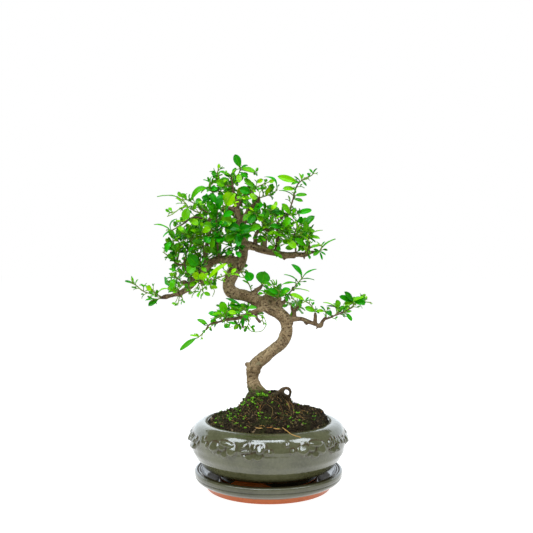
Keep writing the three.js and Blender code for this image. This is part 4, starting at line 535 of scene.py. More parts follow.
# How leaves follow each other round a stem, how often one is tried, and its stalk's share of its length
GOLDEN_ANGLE = 2.4
TRIES = 9
PETIOLE = 0.1
PUSH = 2.5
CIRCLE = 6.28
WORD = 0xFFFFFFFF


def seen(place):
    """A point read from in front, carried along its line of sight to its depth."""
    x, y, z = place[:3]
    scale = (y - EYE[1]) / -EYE[1]
    return np.array((EYE[0] + (x - EYE[0]) * scale, y, EYE[2] + (z - EYE[2]) * scale))


def unit(v):
    return v / np.linalg.norm(v)


def draws(seed):
    """Reproducible draws from 0 to 1, the same ones as the solid model's."""
    state = seed & WORD

    def draw():
        nonlocal state
        state = (state + 0x6D2B79F5) & WORD
        mixed = state
        mixed = ((mixed ^ (mixed >> 15)) * (mixed | 1)) & WORD
        mixed ^= (mixed + (((mixed ^ (mixed >> 7)) * (mixed | 61)) & WORD)) & WORD
        return (mixed ^ (mixed >> 14)) / 4294967296

    return draw


class Route:
    """A line of points with a radius at each."""

    def __init__(self, points, radii):
        self.points = np.array(points, float)
        self.radii = np.array(radii, float)
        self.steps = np.linalg.norm(np.diff(self.points, axis=0), axis=1)
        self.length = self.steps.sum()

    def along(self, place):
        rest = min(max(place, 0), 1) * self.length
        i = 0
        while i < len(self.steps) - 1 and rest > self.steps[i]:
            rest -= self.steps[i]
            i += 1
        t = min(rest / self.steps[i], 1)
        start, end = self.points[i], self.points[i + 1]
        radius = self.radii[i] + (self.radii[i + 1] - self.radii[i]) * t
        return start + (end - start) * t, radius, unit(end - start)

    def spread(self, count):
        """The points, radii and directions at even places along it."""
        found = [self.along(i / count) for i in range(count + 1)]
        return [np.array(part) for part in zip(*found)]

    def smooth(self, spacing):
        """The same line rounded through its points, as points and radii."""
        first, last = 2 * self.points[0] - self.points[1], 2 * self.points[-1] - self.points[-2]
        p = np.vstack((first, self.points, last))
        r = np.concatenate((self.radii[:1], self.radii, self.radii[-1:]))
        points, radii = [], []
        for i, step in enumerate(self.steps):
            count = max(int(step / spacing), 1)
            for t in np.arange(count) / count:
                a, b, c, d = p[i : i + 4]
                square, cube = 2 * a - 5 * b + 4 * c - d, 3 * b - a - 3 * c + d
                points.append(0.5 * (2 * b + (c - a) * t + square * t**2 + cube * t**3))
                ease = t * t * (3 - 2 * t)
                radii.append(r[i + 1] + (r[i + 2] - r[i + 1]) * ease)
        points.append(self.points[-1])
        radii.append(self.radii[-1])
        return np.array(points), np.array(radii)


def wood_route(points):
    return Route([seen(p) for p in points], [p[3] for p in points])


def stem_route(path, radius, parents):
    points = [seen(p) for p in path]
    radii = [radius + (SHOOT_RADIUS - radius) * (i / (len(path) - 1)) for i in range(len(path))]
    places = np.vstack([parent.spread(GRAFT_STEPS)[0] for parent in parents])
    points[0] = places[np.argmin(np.linalg.norm(places - points[0], axis=1))]
    return Route(points, radii)


# Leaves


def blade_width(place):
    """How wide a blade is along its length, as a share of its full width."""
    t = np.clip((place - PETIOLE) / (1 - PETIOLE), 0, 1)
    wide = np.maximum((4 * t * (1 - t)) ** 0.62 * (0.86 + 0.28 * t), 0.12 * (1 - t))
    return np.where(place <= PETIOLE, 0.12, wide)


class Leaf:
    """A leaf from its base on a stem to its tip. It faces up at a turn of 0 and outward at 90."""

    def __init__(self, base, tip, width, turn, arch, fold, outward):
        self.base, self.tip, self.width = base, tip, width
        self.arch, self.fold = arch, fold
        self.length = np.linalg.norm(tip - base)
        self.axis = unit(tip - base)
        outward = unit(outward - self.axis * (outward @ self.axis))
        face = UP - self.axis * (UP @ self.axis)
        face = outward if np.linalg.norm(face) < 0.25 else unit(face)
        side = np.cross(self.axis, face)
        angle = turn / 90 * math.atan2(side @ outward, face @ outward)
        self.normal = face * math.cos(angle) + side * math.sin(angle)
        self.side = np.cross(self.axis, self.normal)

    def points(self, place, across, width=None):
        place, across = np.broadcast_arrays(np.asarray(place, float), np.asarray(across, float))
        rise = self.arch * self.length * 4 * place * (1 - place) + self.fold * np.abs(across) * self.width
        rise = rise * np.minimum(place / PETIOLE, 1)
        wide = 0.5 * self.width * (blade_width(place) if width is None else width) * across
        return (
            self.base
            + np.multiply.outer(self.length * place, self.axis)
            + np.multiply.outer(wide, self.side)
            + np.multiply.outer(rise, self.normal)
        )

    def samples(self):
        rows = math.ceil(self.length / 2.2) + 1
        columns = 5 if self.width > 7 else 3
        place, across = np.meshgrid(np.arange(1, rows + 1) / rows, np.linspace(-1, 1, columns), indexing="ij")
        return self.points(place, across).reshape(-1, 3), (place < 0.34).ravel()


class Room:
    """What stands already: points with their reach and the piece they belong to."""

    def __init__(self, most=200000):
        self.place = np.zeros((most, 3))
        self.reach = np.zeros(most)
        self.owner = np.zeros(most, int)
        self.root = np.zeros(most, bool)
        self.count = 0

    def claim(self, points, reach, owner, root):
        end = self.count + len(points)
        span = slice(self.count, end)
        self.place[span], self.reach[span], self.owner[span], self.root[span] = points, reach, owner, root
        self.count = end

    def claim_route(self, route, owner, margin, spacing):
        points, radii, _ = route.spread(math.ceil(route.length / spacing))
        self.claim(points, np.maximum(radii + margin, 0), owner, True)

    def claim_leaf(self, leaf, owner):
        points, root = leaf.samples()
        self.claim(points, 0, owner, root)

    def is_clear(self, leaf, owner, shade):
        samples, root = leaf.samples()
        place = self.place[: self.count]
        near = ((place > samples.min(0) - 10) & (place < samples.max(0) + 10)).all(1)
        gap = np.linalg.norm(place[near][:, None] - samples[None], axis=2)
        free = gap > (self.reach[: self.count][near] + shade)[:, None]
        own = (self.owner[: self.count][near] == owner)[:, None]
        return bool((free | (own & (self.root[: self.count][near][:, None] | root[None]))).all())


def leaf_root(route, place):
    return route.along(min(place, 1 - ROOT_DEPTH / route.length))


def set_leaf(route, numbers, attempt):
    """A listed leaf, moved to the front and back by turns until it is clear."""
    place, x, y, z, width, turn, arch = (*numbers, 0.1)[:7]
    push = (-1 if attempt % 2 else 1) * PUSH * math.ceil(attempt / 2)
    return Leaf(leaf_root(route, place)[0], seen((x, y + push, z)), width, turn + push, arch, 0.1, VIEWER)


def ruled_leaf(route, count, size, index, seed, attempt):
    """A leaf by rule: they follow each other round the stem, and the last one ends it."""
    draw = draws(seed * 101 + index * 17 + 3)
    base, _, ahead = leaf_root(route, 0.2 + (0.8 * (index + 1)) / count)
    level = np.cross(ahead, UP)
    level = unit(level) if np.linalg.norm(level) >= 0.2 else np.array((1.0, 0, 0))
    raised = np.cross(level, ahead)
    turned = seed * 1.3 + index * GOLDEN_ANGLE + (draw() - 0.5) * 0.8 + attempt * 0.9
    terminal = index == count - 1
    opening = 0.25 + 0.3 * draw() if terminal else 0.8 + 0.45 * draw()
    outward = unit((base - CROWN_AXIS) * (1, 1, 0))
    axis = unit(
        ahead * math.cos(opening)
        + level * math.cos(turned) * math.sin(opening)
        + raised * math.sin(turned) * math.sin(opening)
        + UP * 0.12
        + outward * 0.12
    )
    length = size * (0.78 + 0.44 * draw()) * 0.95**attempt * (0.85 if terminal else 1)
    width = length * (0.5 + 0.12 * draw())
    turn, arch, fold = 15 + 60 * draw(), 0.06 + 0.1 * draw(), 0.06 + 0.08 * draw()
    return Leaf(base, base + axis * length, width, turn, arch, fold, outward)


wood_routes = [wood_route(TRUNK)] + [wood_route(points) for points in LIMBS.values()]
room = Room()
owners = {name: number + 1 for number, name in enumerate(LEAFY_STEMS)}
stems = []
for name, parts in LEAFY_STEMS.items():
    grown = []
    for path, radius, count, size, leaves in parts:
        grown.append(stem_route(path, radius, grown or wood_routes))
        kept = {"node": name, "route": grown[-1], "count": count, "size": size, "set": leaves, "leaves": []}
        stems.append(kept)
for route in wood_routes:
    room.claim_route(route, 0, -0.4, 2)
for stem in stems:
    room.claim_route(stem["route"], owners[stem["node"]], -0.5, 2)


def place_leaf(stem, make, shade=1.7, tries=TRIES):
    """Keep the first try at a leaf that is clear of what stands already."""
    owner = owners[stem["node"]]
    for attempt in range(tries):
        leaf = make(attempt)
        if room.is_clear(leaf, owner, shade):
            room.claim_leaf(leaf, owner)
            stem["leaves"].append(leaf)
            return


for stem in stems:
    for numbers in stem["set"]:
        place_leaf(stem, lambda attempt: set_leaf(stem["route"], numbers, attempt))
for seed, stem in enumerate(stems):
    route, count, size = stem["route"], stem["count"], stem["size"]
    for index in range(count):
        place_leaf(stem, lambda attempt: ruled_leaf(route, count, size, index, seed, attempt))

# Short spurs along the stems carry the rest of the leaves
SPUR_SPACING = 4.3
# Where twigs stand bare: x from and to, z from and to
BARE = [(-110, -84, 254, 300), (38, 60, 258, 290), (-66, -52, 299, 312), (86, 110, 184, 200)]
spurs = []


def grow_spur(stem, base, heading, ahead, size, seed):
    """A short spur from a stem's axis with a few leaves round its end."""
    draw = draws(seed)
    outward = unit((base - CROWN_AXIS) * (1, 1, 0.001))
    heading = unit(heading + UP * 0.25 + outward * 0.25)
    end = base + heading * (2.2 + 2.6 * draw())
    spur = {"node": stem["node"], "route": Route([base, end], [0.5, 0.4]), "leaves": []}
    level = unit(np.cross(heading, ahead + 0.01 * UP))
    raised = np.cross(heading, level)
    for index in range(2 + int(3 * draw())):
        around, opening, grown = draw() * CIRCLE, 0.35 + 0.75 * draw(), size * (0.55 + 0.55 * draw())
        slim, turn = 0.46 + 0.14 * draw(), 15 + 60 * draw()
        bow, fold = 0.05 + 0.12 * draw(), 0.05 + 0.1 * draw()

        def make(attempt):
            angle = around + attempt * 1.3
            across = level * math.cos(angle) + raised * math.sin(angle)
            axis = unit(heading * math.cos(opening) + across * math.sin(opening) + UP * 0.1)
            length = grown * 0.9**attempt
            return Leaf(end, end + axis * length, length * slim, turn, bow, fold, outward)

        place_leaf(spur, make, 0.9, 6)
    if spur["leaves"]:
        spurs.append(spur)


for number, stem in enumerate(stems):
    route = stem["route"]
    count = int(route.length / SPUR_SPACING)
    for index in range(count):
        draw = draws(number * 977 + index * 31 + 11)
        along = (index + 0.35 + 0.4 * draw()) / max(count, 1)
        base, _, ahead = route.along(along)
        if any(x0 < base[0] < x1 and z0 < base[2] < z1 for x0, x1, z0, z1 in BARE):
            continue
        level = np.cross(ahead, UP)
        level = unit(level) if np.linalg.norm(level) > 0.2 else np.array((1.0, 0, 0))
        raised = np.cross(level, ahead)
        angle = number * 0.7 + index * GOLDEN_ANGLE + draw()
        heading = level * math.cos(angle) + raised * math.sin(angle) + ahead * 0.5
        size = stem["size"] * (0.8 - max(along - 0.6, 0))
        grow_spur(stem, base, unit(heading), ahead, size, number * 353 + index * 7 + 5)

# Leaves that close the crown where the stems leave room: x, y and z in front, and the leaves' length
FILLS = [
    (-36, -14, 236, 10), (-42, -12, 240, 9), (-31, -12, 241, 9), (-38, -10, 230, 8), (-9, -10, 248, 9),
    (-2, -8, 246, 8), (5, -6, 243, 8), (15, -6, 240, 8), (27, -6, 240, 8), (36, -4, 238, 8),
    (-16, -5, 312, 8), (-6, -4, 293, 8), (3, -4, 294, 7), (-88, -9, 197, 8), (-80, -9, 195, 8),
    (-73, -9, 194, 8), (-66, -9, 196, 8), (-61, -8, 200, 7), (-40, -6, 168, 7), (-30, -6, 163, 7),
    (-20, -6, 161, 7), (-12, -4, 168, 7), (-46, -5, 172, 7), (-62, -10, 222, 8), (8, -8, 251, 9),
    (20, -8, 250, 9), (-24, -12, 284, 9), (-58, -12, 262, 9), (-66, -10, 246, 9), (-71, -9, 228, 8),
    (-1, -5, 190, 8), (6, -10, 197, 9), (14, -10, 191, 9), (-2, -10, 199, 8), (-42, -12, 213, 8),
    (-96, -6, 272, 7), (-90, -8, 182, 6), (-86, -8, 186, 5),
]
# Bare green tendrils below the crown and the low limbs
TENDRILS = [
    [(-14, -5, 172), (-5, -6, 167), (-2.5, -6, 160), (-7, -6, 153.5), (-16, -6, 153), (-22, -6, 157)],
    [(-57, -6, 206), (-58, -7, 199), (-54, -7, 194), (-56, -7, 188)],
    [(-90, -5, 190), (-92, -6, 184), (-95, -6, 180)],
    [(-70, -8, 200), (-68, -9, 193), (-71, -9, 189)],
    [(-40, -6, 170), (-44, -7, 162), (-41, -7, 157), (-36, -7, 158)],
]
for points in TENDRILS:
    route = Route([seen(p) for p in points], [0.4] * len(points))
    spurs.append({"node": "trunk_front", "route": route, "leaves": []})
# Leaves deep in the crown: the middle in x and z and the half-sizes of each part, and how many places
INNER = [
    (-68, 248, 22, 32, 32), (-36, 280, 32, 24, 26), (14, 258, 28, 15, 22), (-56, 216, 32, 11, 10),
    (-30, 170, 24, 6, 6),
]
chance = np.random.default_rng(19)
for x, z, wide, tall, count in INNER:
    for _ in range(count):
        way, far = chance.random() * CIRCLE, math.sqrt(chance.random())
        across, up = wide * far * math.cos(way), tall * far * math.sin(way)
        FILLS.append((x + across, 3 + 13 * chance.random(), z + up, 8.5))
for number, (x, y, z, size) in enumerate(FILLS):
    place = seen((x, y, z))
    near = [stem["route"].along(t / 12)[0] for stem in stems for t in range(13)]
    nearest = int(np.argmin([np.linalg.norm(point - place) for point in near]))
    stem, base = stems[nearest // 13], near[nearest]
    if np.linalg.norm(place - base) > 1:
        spurs.append({"node": stem["node"], "route": Route([base, place], [0.6, 0.45]), "leaves": []})
    ahead = unit(place - base + (0, 0, 0.01))
    grow_spur(stem, place, unit(ahead + (0.3, -0.5, 0)), ahead, size, number * 419 + 3)
    grow_spur(stem, place, unit(ahead + (-0.5, -0.5, -0.2)), ahead, size, number * 419 + 90)


# Meshes


class Shape:
    """Points, faces and marks gathered for one piece."""

    def __init__(self):
        self.points, self.faces, self.looks = [], [], []
        self.marks = {}
        self.count = 0

    def add(self, points, faces, look=0, **marks):
        self.points.append(points)
        self.faces.extend((np.asarray(faces) + self.count).tolist())
        self.looks.extend([look] * len(faces))
        for name, values in marks.items():
            self.marks.setdefault(name, []).append(np.broadcast_to(values, (len(points), 3)))
        self.count += len(points)

    def piece(self, name, looks, smooth=True):
        mesh = bpy.data.meshes.new(name)
        mesh.from_pydata((np.vstack(self.points) * 0.001).tolist(), [], self.faces)
        return dress(mesh, name, looks, self.looks, {k: np.vstack(v) for k, v in self.marks.items()}, smooth)


def dress(mesh, name, looks, indices=None, marks=None, smooth=True):
    for name_of, values in (marks or {}).items():
        mark = mesh.attributes.new(name_of, "FLOAT_VECTOR", "POINT")
        mark.data.foreach_set("vector", values.astype(np.float32).ravel())
    for look in looks:
        mesh.materials.append(look)
    if indices:
        mesh.polygons.foreach_set("material_index", indices)
    mesh.polygons.foreach_set("use_smooth", [smooth] * len(mesh.polygons))
    mesh.update()
    made = bpy.data.objects.new(name, mesh)
    bpy.context.scene.collection.objects.link(made)
    return made


def grid_faces(rows, columns, closed=False):
    """Four-sided faces over rows of points."""
    i, j = np.meshgrid(np.arange(rows - 1), np.arange(columns if closed else columns - 1), indexing="ij")
    k = (j + 1) % columns
    low, high = i * columns, (i + 1) * columns
    return np.stack((low + j, low + k, high + k, high + j), -1).reshape(-1, 4)


def rings(points, radii, sides, flutes=0.0):
    """Rings of points round a line, in a frame that doesn't twist."""
    made = []
    across = np.array((0.0, 1.0, 0.0))
    angles = np.arange(sides) / sides * 2 * math.pi
    for i, (point, radius) in enumerate(zip(points, radii)):
        ahead = unit(points[min(i + 1, len(points) - 1)] - points[max(i - 1, 0)])
        across = unit(across - ahead * (across @ ahead))
        beside = np.cross(ahead, across)
        reach = radius * (1 + flutes * np.cos(3 * angles + i * 0.12))
        one_way, other_way = np.cos(angles) * reach, np.sin(angles) * reach
        made.append(point + np.outer(one_way, across) + np.outer(other_way, beside))
    return np.vstack(made)


def tube(shape, points, radii, sides, look=0, flutes=0.0, **marks):
    """A closed tube with a rounded end."""
    ahead = unit(points[-1] - points[-2])
    points = np.vstack((points, points[-1] + ahead * radii[-1] * 0.6))
    radii = np.concatenate((radii, (radii[-1] * 0.55,)))
    around = rings(points, radii, sides, flutes)
    ends = np.vstack((points[0], points[-1] + ahead * radii[-1] * 0.4))
    first, last = len(around), len(around) + 1
    faces = grid_faces(len(points), sides, True).tolist()
    top = (len(points) - 1) * sides
    for j in range(sides):
        k = (j + 1) % sides
        faces.append((k, j, first, first))
        faces.append((top + j, top + k, last, last))
    faces = [f if f[2] != f[3] else f[:3] for f in map(tuple, faces)]
    whole = np.vstack((around, ends))
    shape.points.append(whole)
    shape.faces.extend([tuple(c + shape.count for c in f) for f in faces])
    shape.looks.extend([look] * len(faces))
    for name, values in marks.items():
        values = np.asarray(values, float)
        if values.ndim == 2:
            values = np.vstack((np.repeat(np.vstack((values, values[-1])), sides, 0), values[0], values[-1]))
        shape.marks.setdefault(name, []).append(np.broadcast_to(values, (len(whole), 3)))
    shape.count += len(whole)


def noise(places, seed=0):
    """Smooth noise over points in space, from -1 to 1."""
    cell = np.floor(places).astype(np.int64)
    t = places - cell
    t = t * t * (3 - 2 * t)
    total = 0
    for corner in range(8):
        step = np.array((corner & 1, corner >> 1 & 1, corner >> 2 & 1))
        i, j, k = (cell + step).T
        mixed = (i * 73856093 ^ j * 19349663 ^ k * 83492791 ^ (seed * 2654435761)) & WORD
        mixed = ((mixed ^ (mixed >> 13)) * 1274126177) & WORD
        mixed = ((mixed ^ (mixed >> 16)) * 668265263) & WORD
        share = np.prod(np.where(step, t, 1 - t), axis=1)
        total = total + ((mixed ^ (mixed >> 15)) & 0xFFFF) / 32767.5 * share
    return total - 1


def rough(places, octaves, seed=0):
    """Noise with finer noise on it."""
    return sum(noise(places * 2**o, seed + o) / 2**o for o in range(octaves)) / (2 - 2 ** (1 - octaves))


# Materials


class Look:
    """A material built from nodes over one Principled shader."""

    def __init__(self, name, roughness=0.5, specular=0.5, coat=0.0, coat_roughness=0.05):
        self.material = bpy.data.materials.new(name)
        self.material.use_nodes = True
        self.tree = self.material.node_tree
        self.shader = self.tree.nodes["Principled BSDF"]
        self.shader.inputs["Roughness"].default_value = roughness
        self.shader.inputs["Specular IOR Level"].default_value = specular
        self.shader.inputs["Coat Weight"].default_value = coat
        self.shader.inputs["Coat Roughness"].default_value = coat_roughness

    def node(self, kind, inputs=None, out=0, **settings):
        node = self.tree.nodes.new("ShaderNode" + kind)
        for name, value in settings.items():
            setattr(node, name, value)
        for name, value in (inputs or {}).items():
            if isinstance(value, bpy.types.NodeSocket):
                self.tree.links.new(value, node.inputs[name])
            else:
                node.inputs[name].default_value = value
        return node.outputs[out]

    def place(self):
        return self.node("TexCoord", out="Object")

    def mark(self, name):
        return self.node("Attribute", attribute_name=name, out="Vector")

    def parts(self, vector):
        split = self.tree.nodes.new("ShaderNodeSeparateXYZ")
        self.tree.links.new(vector, split.inputs[0])
        return split.outputs[0], split.outputs[1], split.outputs[2]

    def noise(self, vector, scale, detail=4.0, rough=0.55):
        return self.node("TexNoise", {"Vector": vector, "Scale": scale, "Detail": detail, "Roughness": rough})

    def cells(self, vector, scale):
        return self.node("TexVoronoi", {"Vector": vector, "Scale": scale})

    def sum(self, kind, a, b=0.0):
        return self.node("Math", {0: a, 1: b}, operation=kind)

    def span(self, value, low, high, to_low=0.0, to_high=1.0):
        inputs = {"Value": value, "From Min": low, "From Max": high, "To Min": to_low, "To Max": to_high}
        return self.node("MapRange", inputs)

    def mix(self, factor, first, second):
        node = self.tree.nodes.new("ShaderNodeMix")
        node.data_type = "RGBA"
        for socket, value in ((0, factor), (6, first), (7, second)):
            if isinstance(value, bpy.types.NodeSocket):
                self.tree.links.new(value, node.inputs[socket])
            else:
                node.inputs[socket].default_value = value
        return node.outputs[2]

    def bump(self, height, distance, strength=1.0, under=None):
        inputs = {"Height": height, "Distance": distance, "Strength": strength}
        if under:
            inputs["Normal"] = under
        return self.node("Bump", inputs)

    def set(self, **sockets):
        for name, value in sockets.items():
            self.tree.links.new(value, self.shader.inputs[name.replace("_", " ")])
        return self.material


def tint(red, green, blue):
    """A colour as it shows on screen, 0 to 255."""
    levels = (red, green, blue)
    return tuple(((v / 255 + 0.055) / 1.055) ** 2.4 if v > 10 else v / 3295 for v in levels) + (1.0,)


def leaf_look():
    look = Look("leaf_blade", 0.32, 0.14, 0.04, 0.2)
    place, across, side = look.parts(look.mark("blade"))
    age, chance, _ = look.parts(look.mark("tone"))
    inside = look.place()
    blotch = look.noise(inside, 260, 3)
    dark = look.mix(chance, tint(0, 106, 0), tint(24, 170, 0))
    young = look.mix(chance, tint(108, 214, 0), tint(190, 242, 0))
    green = look.mix(age, dark, young)
    green = look.mix(look.span(blotch, 0.35, 0.7, 0, 0.5), green, look.mix(0.5, green, tint(52, 190, 0)))
    away = look.sum("ABSOLUTE", across)
    rib = look.span(away, 0.02, 0.11, 0.34, 0)
    slant = look.sum("SUBTRACT", look.sum("MULTIPLY", place, 9.0), look.sum("MULTIPLY", away, 2.6))
    wave = look.sum("ABSOLUTE", look.sum("SUBTRACT", look.sum("FRACT", slant), 0.5))
    vein = look.span(wave, 0.0, 0.09, 0.22, 0)
    green = look.mix(look.sum("MAXIMUM", rib, vein), green, tint(112, 196, 16))
    specks = look.span(look.cells(inside, 900), 0.05, 0.12, 0.25, 0)
    green = look.mix(specks, green, tint(120, 196, 40))
    under = look.mix(0.45, green, tint(98, 166, 36))
    colour = look.mix(side, green, under)
    height = look.sum("SUBTRACT", look.sum("MULTIPLY", blotch, 0.5), look.sum("MAXIMUM", rib, vein))
    sheen = look.span(look.noise(inside, 500, 2), 0.3, 0.7, 0.24, 0.46)
    return look.set(Base_Color=colour, Normal=look.bump(height, 0.0002, 0.6), Roughness=sheen)


def stem_look():
    look = Look("young_stem", 0.55, 0.4)
    age, chance, girth = look.parts(look.mark("tone"))
    inside = look.place()
    wood = look.mix(look.noise(inside, 900, 4), tint(78, 54, 36), tint(132, 104, 76))
    green = look.mix(chance, tint(120, 150, 40), tint(150, 196, 60))
    colour = look.mix(look.span(girth, 0.5, 0.8, 0, 1), green, wood)
    return look.set(Base_Color=colour, Normal=look.bump(look.noise(inside, 1500, 3), 0.0003, 0.6))


def bark_look():
    look = Look("bark", 0.82, 0.25)
    grain = look.mark("grain")
    girth, crack, _ = look.parts(look.mark("bark"))
    inside = look.place()
    fine = look.noise(grain, 0.9, 6, 0.65)
    broad = look.noise(inside, 90, 4)
    pale = look.mix(look.span(broad, 0.35, 0.65), tint(146, 122, 86), tint(196, 170, 130))
    brown = look.mix(look.span(fine, 0.3, 0.7), tint(66, 48, 28), tint(136, 110, 74))
    colour = look.mix(look.span(fine, 0.34, 0.6), brown, pale)
    twig = look.mix(look.span(fine, 0.3, 0.7), tint(66, 46, 30), tint(130, 104, 76))
    colour = look.mix(look.span(girth, 1.4, 3.4), twig, colour)
    # Darker in the bark's cracks: partly the bark's own colour, partly painted shade in the recesses
    colour = look.mix(look.span(crack, -0.9, -0.1, 0.85, 0), colour, tint(44, 28, 16))
    flecks = look.span(look.noise(inside, 750, 5, 0.7), 0.3, 0.42, 0.7, 0)
    colour = look.mix(flecks, colour, tint(74, 46, 28))
    lichen = look.span(look.noise(inside, 160, 3), 0.6, 0.72, 0, 0.5)
    colour = look.mix(lichen, colour, tint(150, 148, 112))
    right, _, high = look.parts(inside)
    foot = look.noise(inside, 300, 3)
    earth = look.mix(foot, tint(20, 14, 6), tint(64, 54, 30))
    colour = look.mix(look.span(high, 0.093, 0.1, 0.85, 0), colour, earth)
    mossy = look.sum("MULTIPLY", look.span(high, 0.091, 0.102, 1, 0), look.span(foot, 0.47, 0.54))
    mossy = look.sum("MULTIPLY", mossy, look.span(right, -0.008, 0, 1, 0))
    colour = look.mix(look.sum("MULTIPLY", mossy, 0.8), colour, tint(66, 112, 12))
    bump = look.bump(look.noise(grain, 2.2, 6, 0.7), 0.0007, 0.8)
    bump = look.bump(look.cells(inside, 420), 0.0004, 0.35, bump)
    return look.set(Base_Color=colour, Normal=bump)


# Leafy pieces: the points across a large, a small and a tiny blade
ACROSS = np.array((-1, -0.66, -0.33, 0, 0.33, 0.66, 1))
ACROSS_SMALL = ACROSS[[0, 2, 3, 4, 6]]
ACROSS_TINY = ACROSS[::3]
TINY_LENGTH = 4


def fine_width(place):
    """The real outline of a blade: its fullest part past the middle, its end drawn to a point."""
    t = np.clip((place - PETIOLE) / (1 - PETIOLE), 0, 1)
    widest = 0.389
    return np.maximum(t**0.75 * (1 - t) ** 0.62 / widest, 0.1 * (1 - 0.5 * t) * (1 - t**6))


def draw_leaf(shape, leaf, young, draw, columns=ACROSS):
    """A blade with a grooved midrib, waved edges and a drooping tip, on a short stalk."""
    rows = min(max(round(leaf.length), 6), 2 * len(columns)) + 1
    place, across = np.meshgrid(np.linspace(0, 1, rows), columns, indexing="ij")
    surface = leaf.points(place, across, fine_width(place))
    phase, curl = draw() * CIRCLE, 0.02 + 0.07 * draw()
    wave = np.sin(place * 11 + phase + across * 1.5) * np.abs(across) ** 1.5 * 0.035 * leaf.width
    groove = -0.035 * leaf.width * np.exp(-((across / 0.2) ** 2))
    lift = (wave + groove) * np.minimum(place / 0.25, 1) - curl * leaf.length * place**2 * (1 - place) * 2
    surface = surface + lift[..., None] * leaf.normal
    stalk = np.clip(1 - place / 0.16, 0, 1)
    thick = (1 - across**2) * (0.16 + 0.34 * np.exp(-((across / 0.25) ** 2)) * (1 - place) + 0.35 * stalk)
    under = surface - thick[..., None] * leaf.normal
    surface = surface + (0.25 * stalk * (1 - across**2))[..., None] * leaf.normal
    age = min(max(young + 0.85 * draw() ** 2.6, 0), 1)
    tone = (age, draw(), 0)
    faces = grid_faces(rows, len(columns))
    for points, side in ((surface, 0), (under, 1)):
        blade = np.stack((place, across, np.full(place.shape, side)), -1).reshape(-1, 3)
        turned = faces if side == 0 else faces[:, ::-1]
        shape.add(points.reshape(-1, 3), turned, 0, blade=blade, tone=tone)


def draw_stem(shape, route, draw):
    points, radii = route.smooth(1.4)
    swell = 1 + 0.14 * np.sin(np.arange(len(points)) * 1.9)
    tone = np.stack((np.full(len(points), 0.5), np.full(len(points), draw()), radii), -1)
    tube(shape, points, radii * swell, 6, 1, blade=(0, 0, 0), tone=tone)
    return points


leaf_material, stem_material, bark_material = leaf_look(), stem_look(), bark_look()
for name in LEAFY_STEMS:
    shape = Shape()
    draw = draws(len(name) * 7919 + owners[name] * 13)
    young = TONES.get(name, YOUNG_TONE if name in YOUNG else 0.0)
    for stem in [s for s in stems if s["node"] == name]:
        axis = draw_stem(shape, stem["route"], draw)
        for leaf in stem["leaves"]:
            leaf.base = axis[np.argmin(np.linalg.norm(axis - leaf.base, axis=1))]
            draw_leaf(shape, leaf, young, draw)
    for spur in [s for s in spurs if s["node"] == name]:
        draw_stem(shape, spur["route"], draw)
        for leaf in spur["leaves"]:
            columns = ACROSS_TINY if leaf.length < TINY_LENGTH else ACROSS_SMALL
            draw_leaf(shape, leaf, young + 0.1, draw, columns)
    piece = shape.piece("leafy_" + name, [leaf_material, stem_material])
    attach(piece, "root")
    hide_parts("leafy_stem_" + name)

# In metres; it keeps the wood under its limit of triangles
WOOD_VOXEL = 0.00057


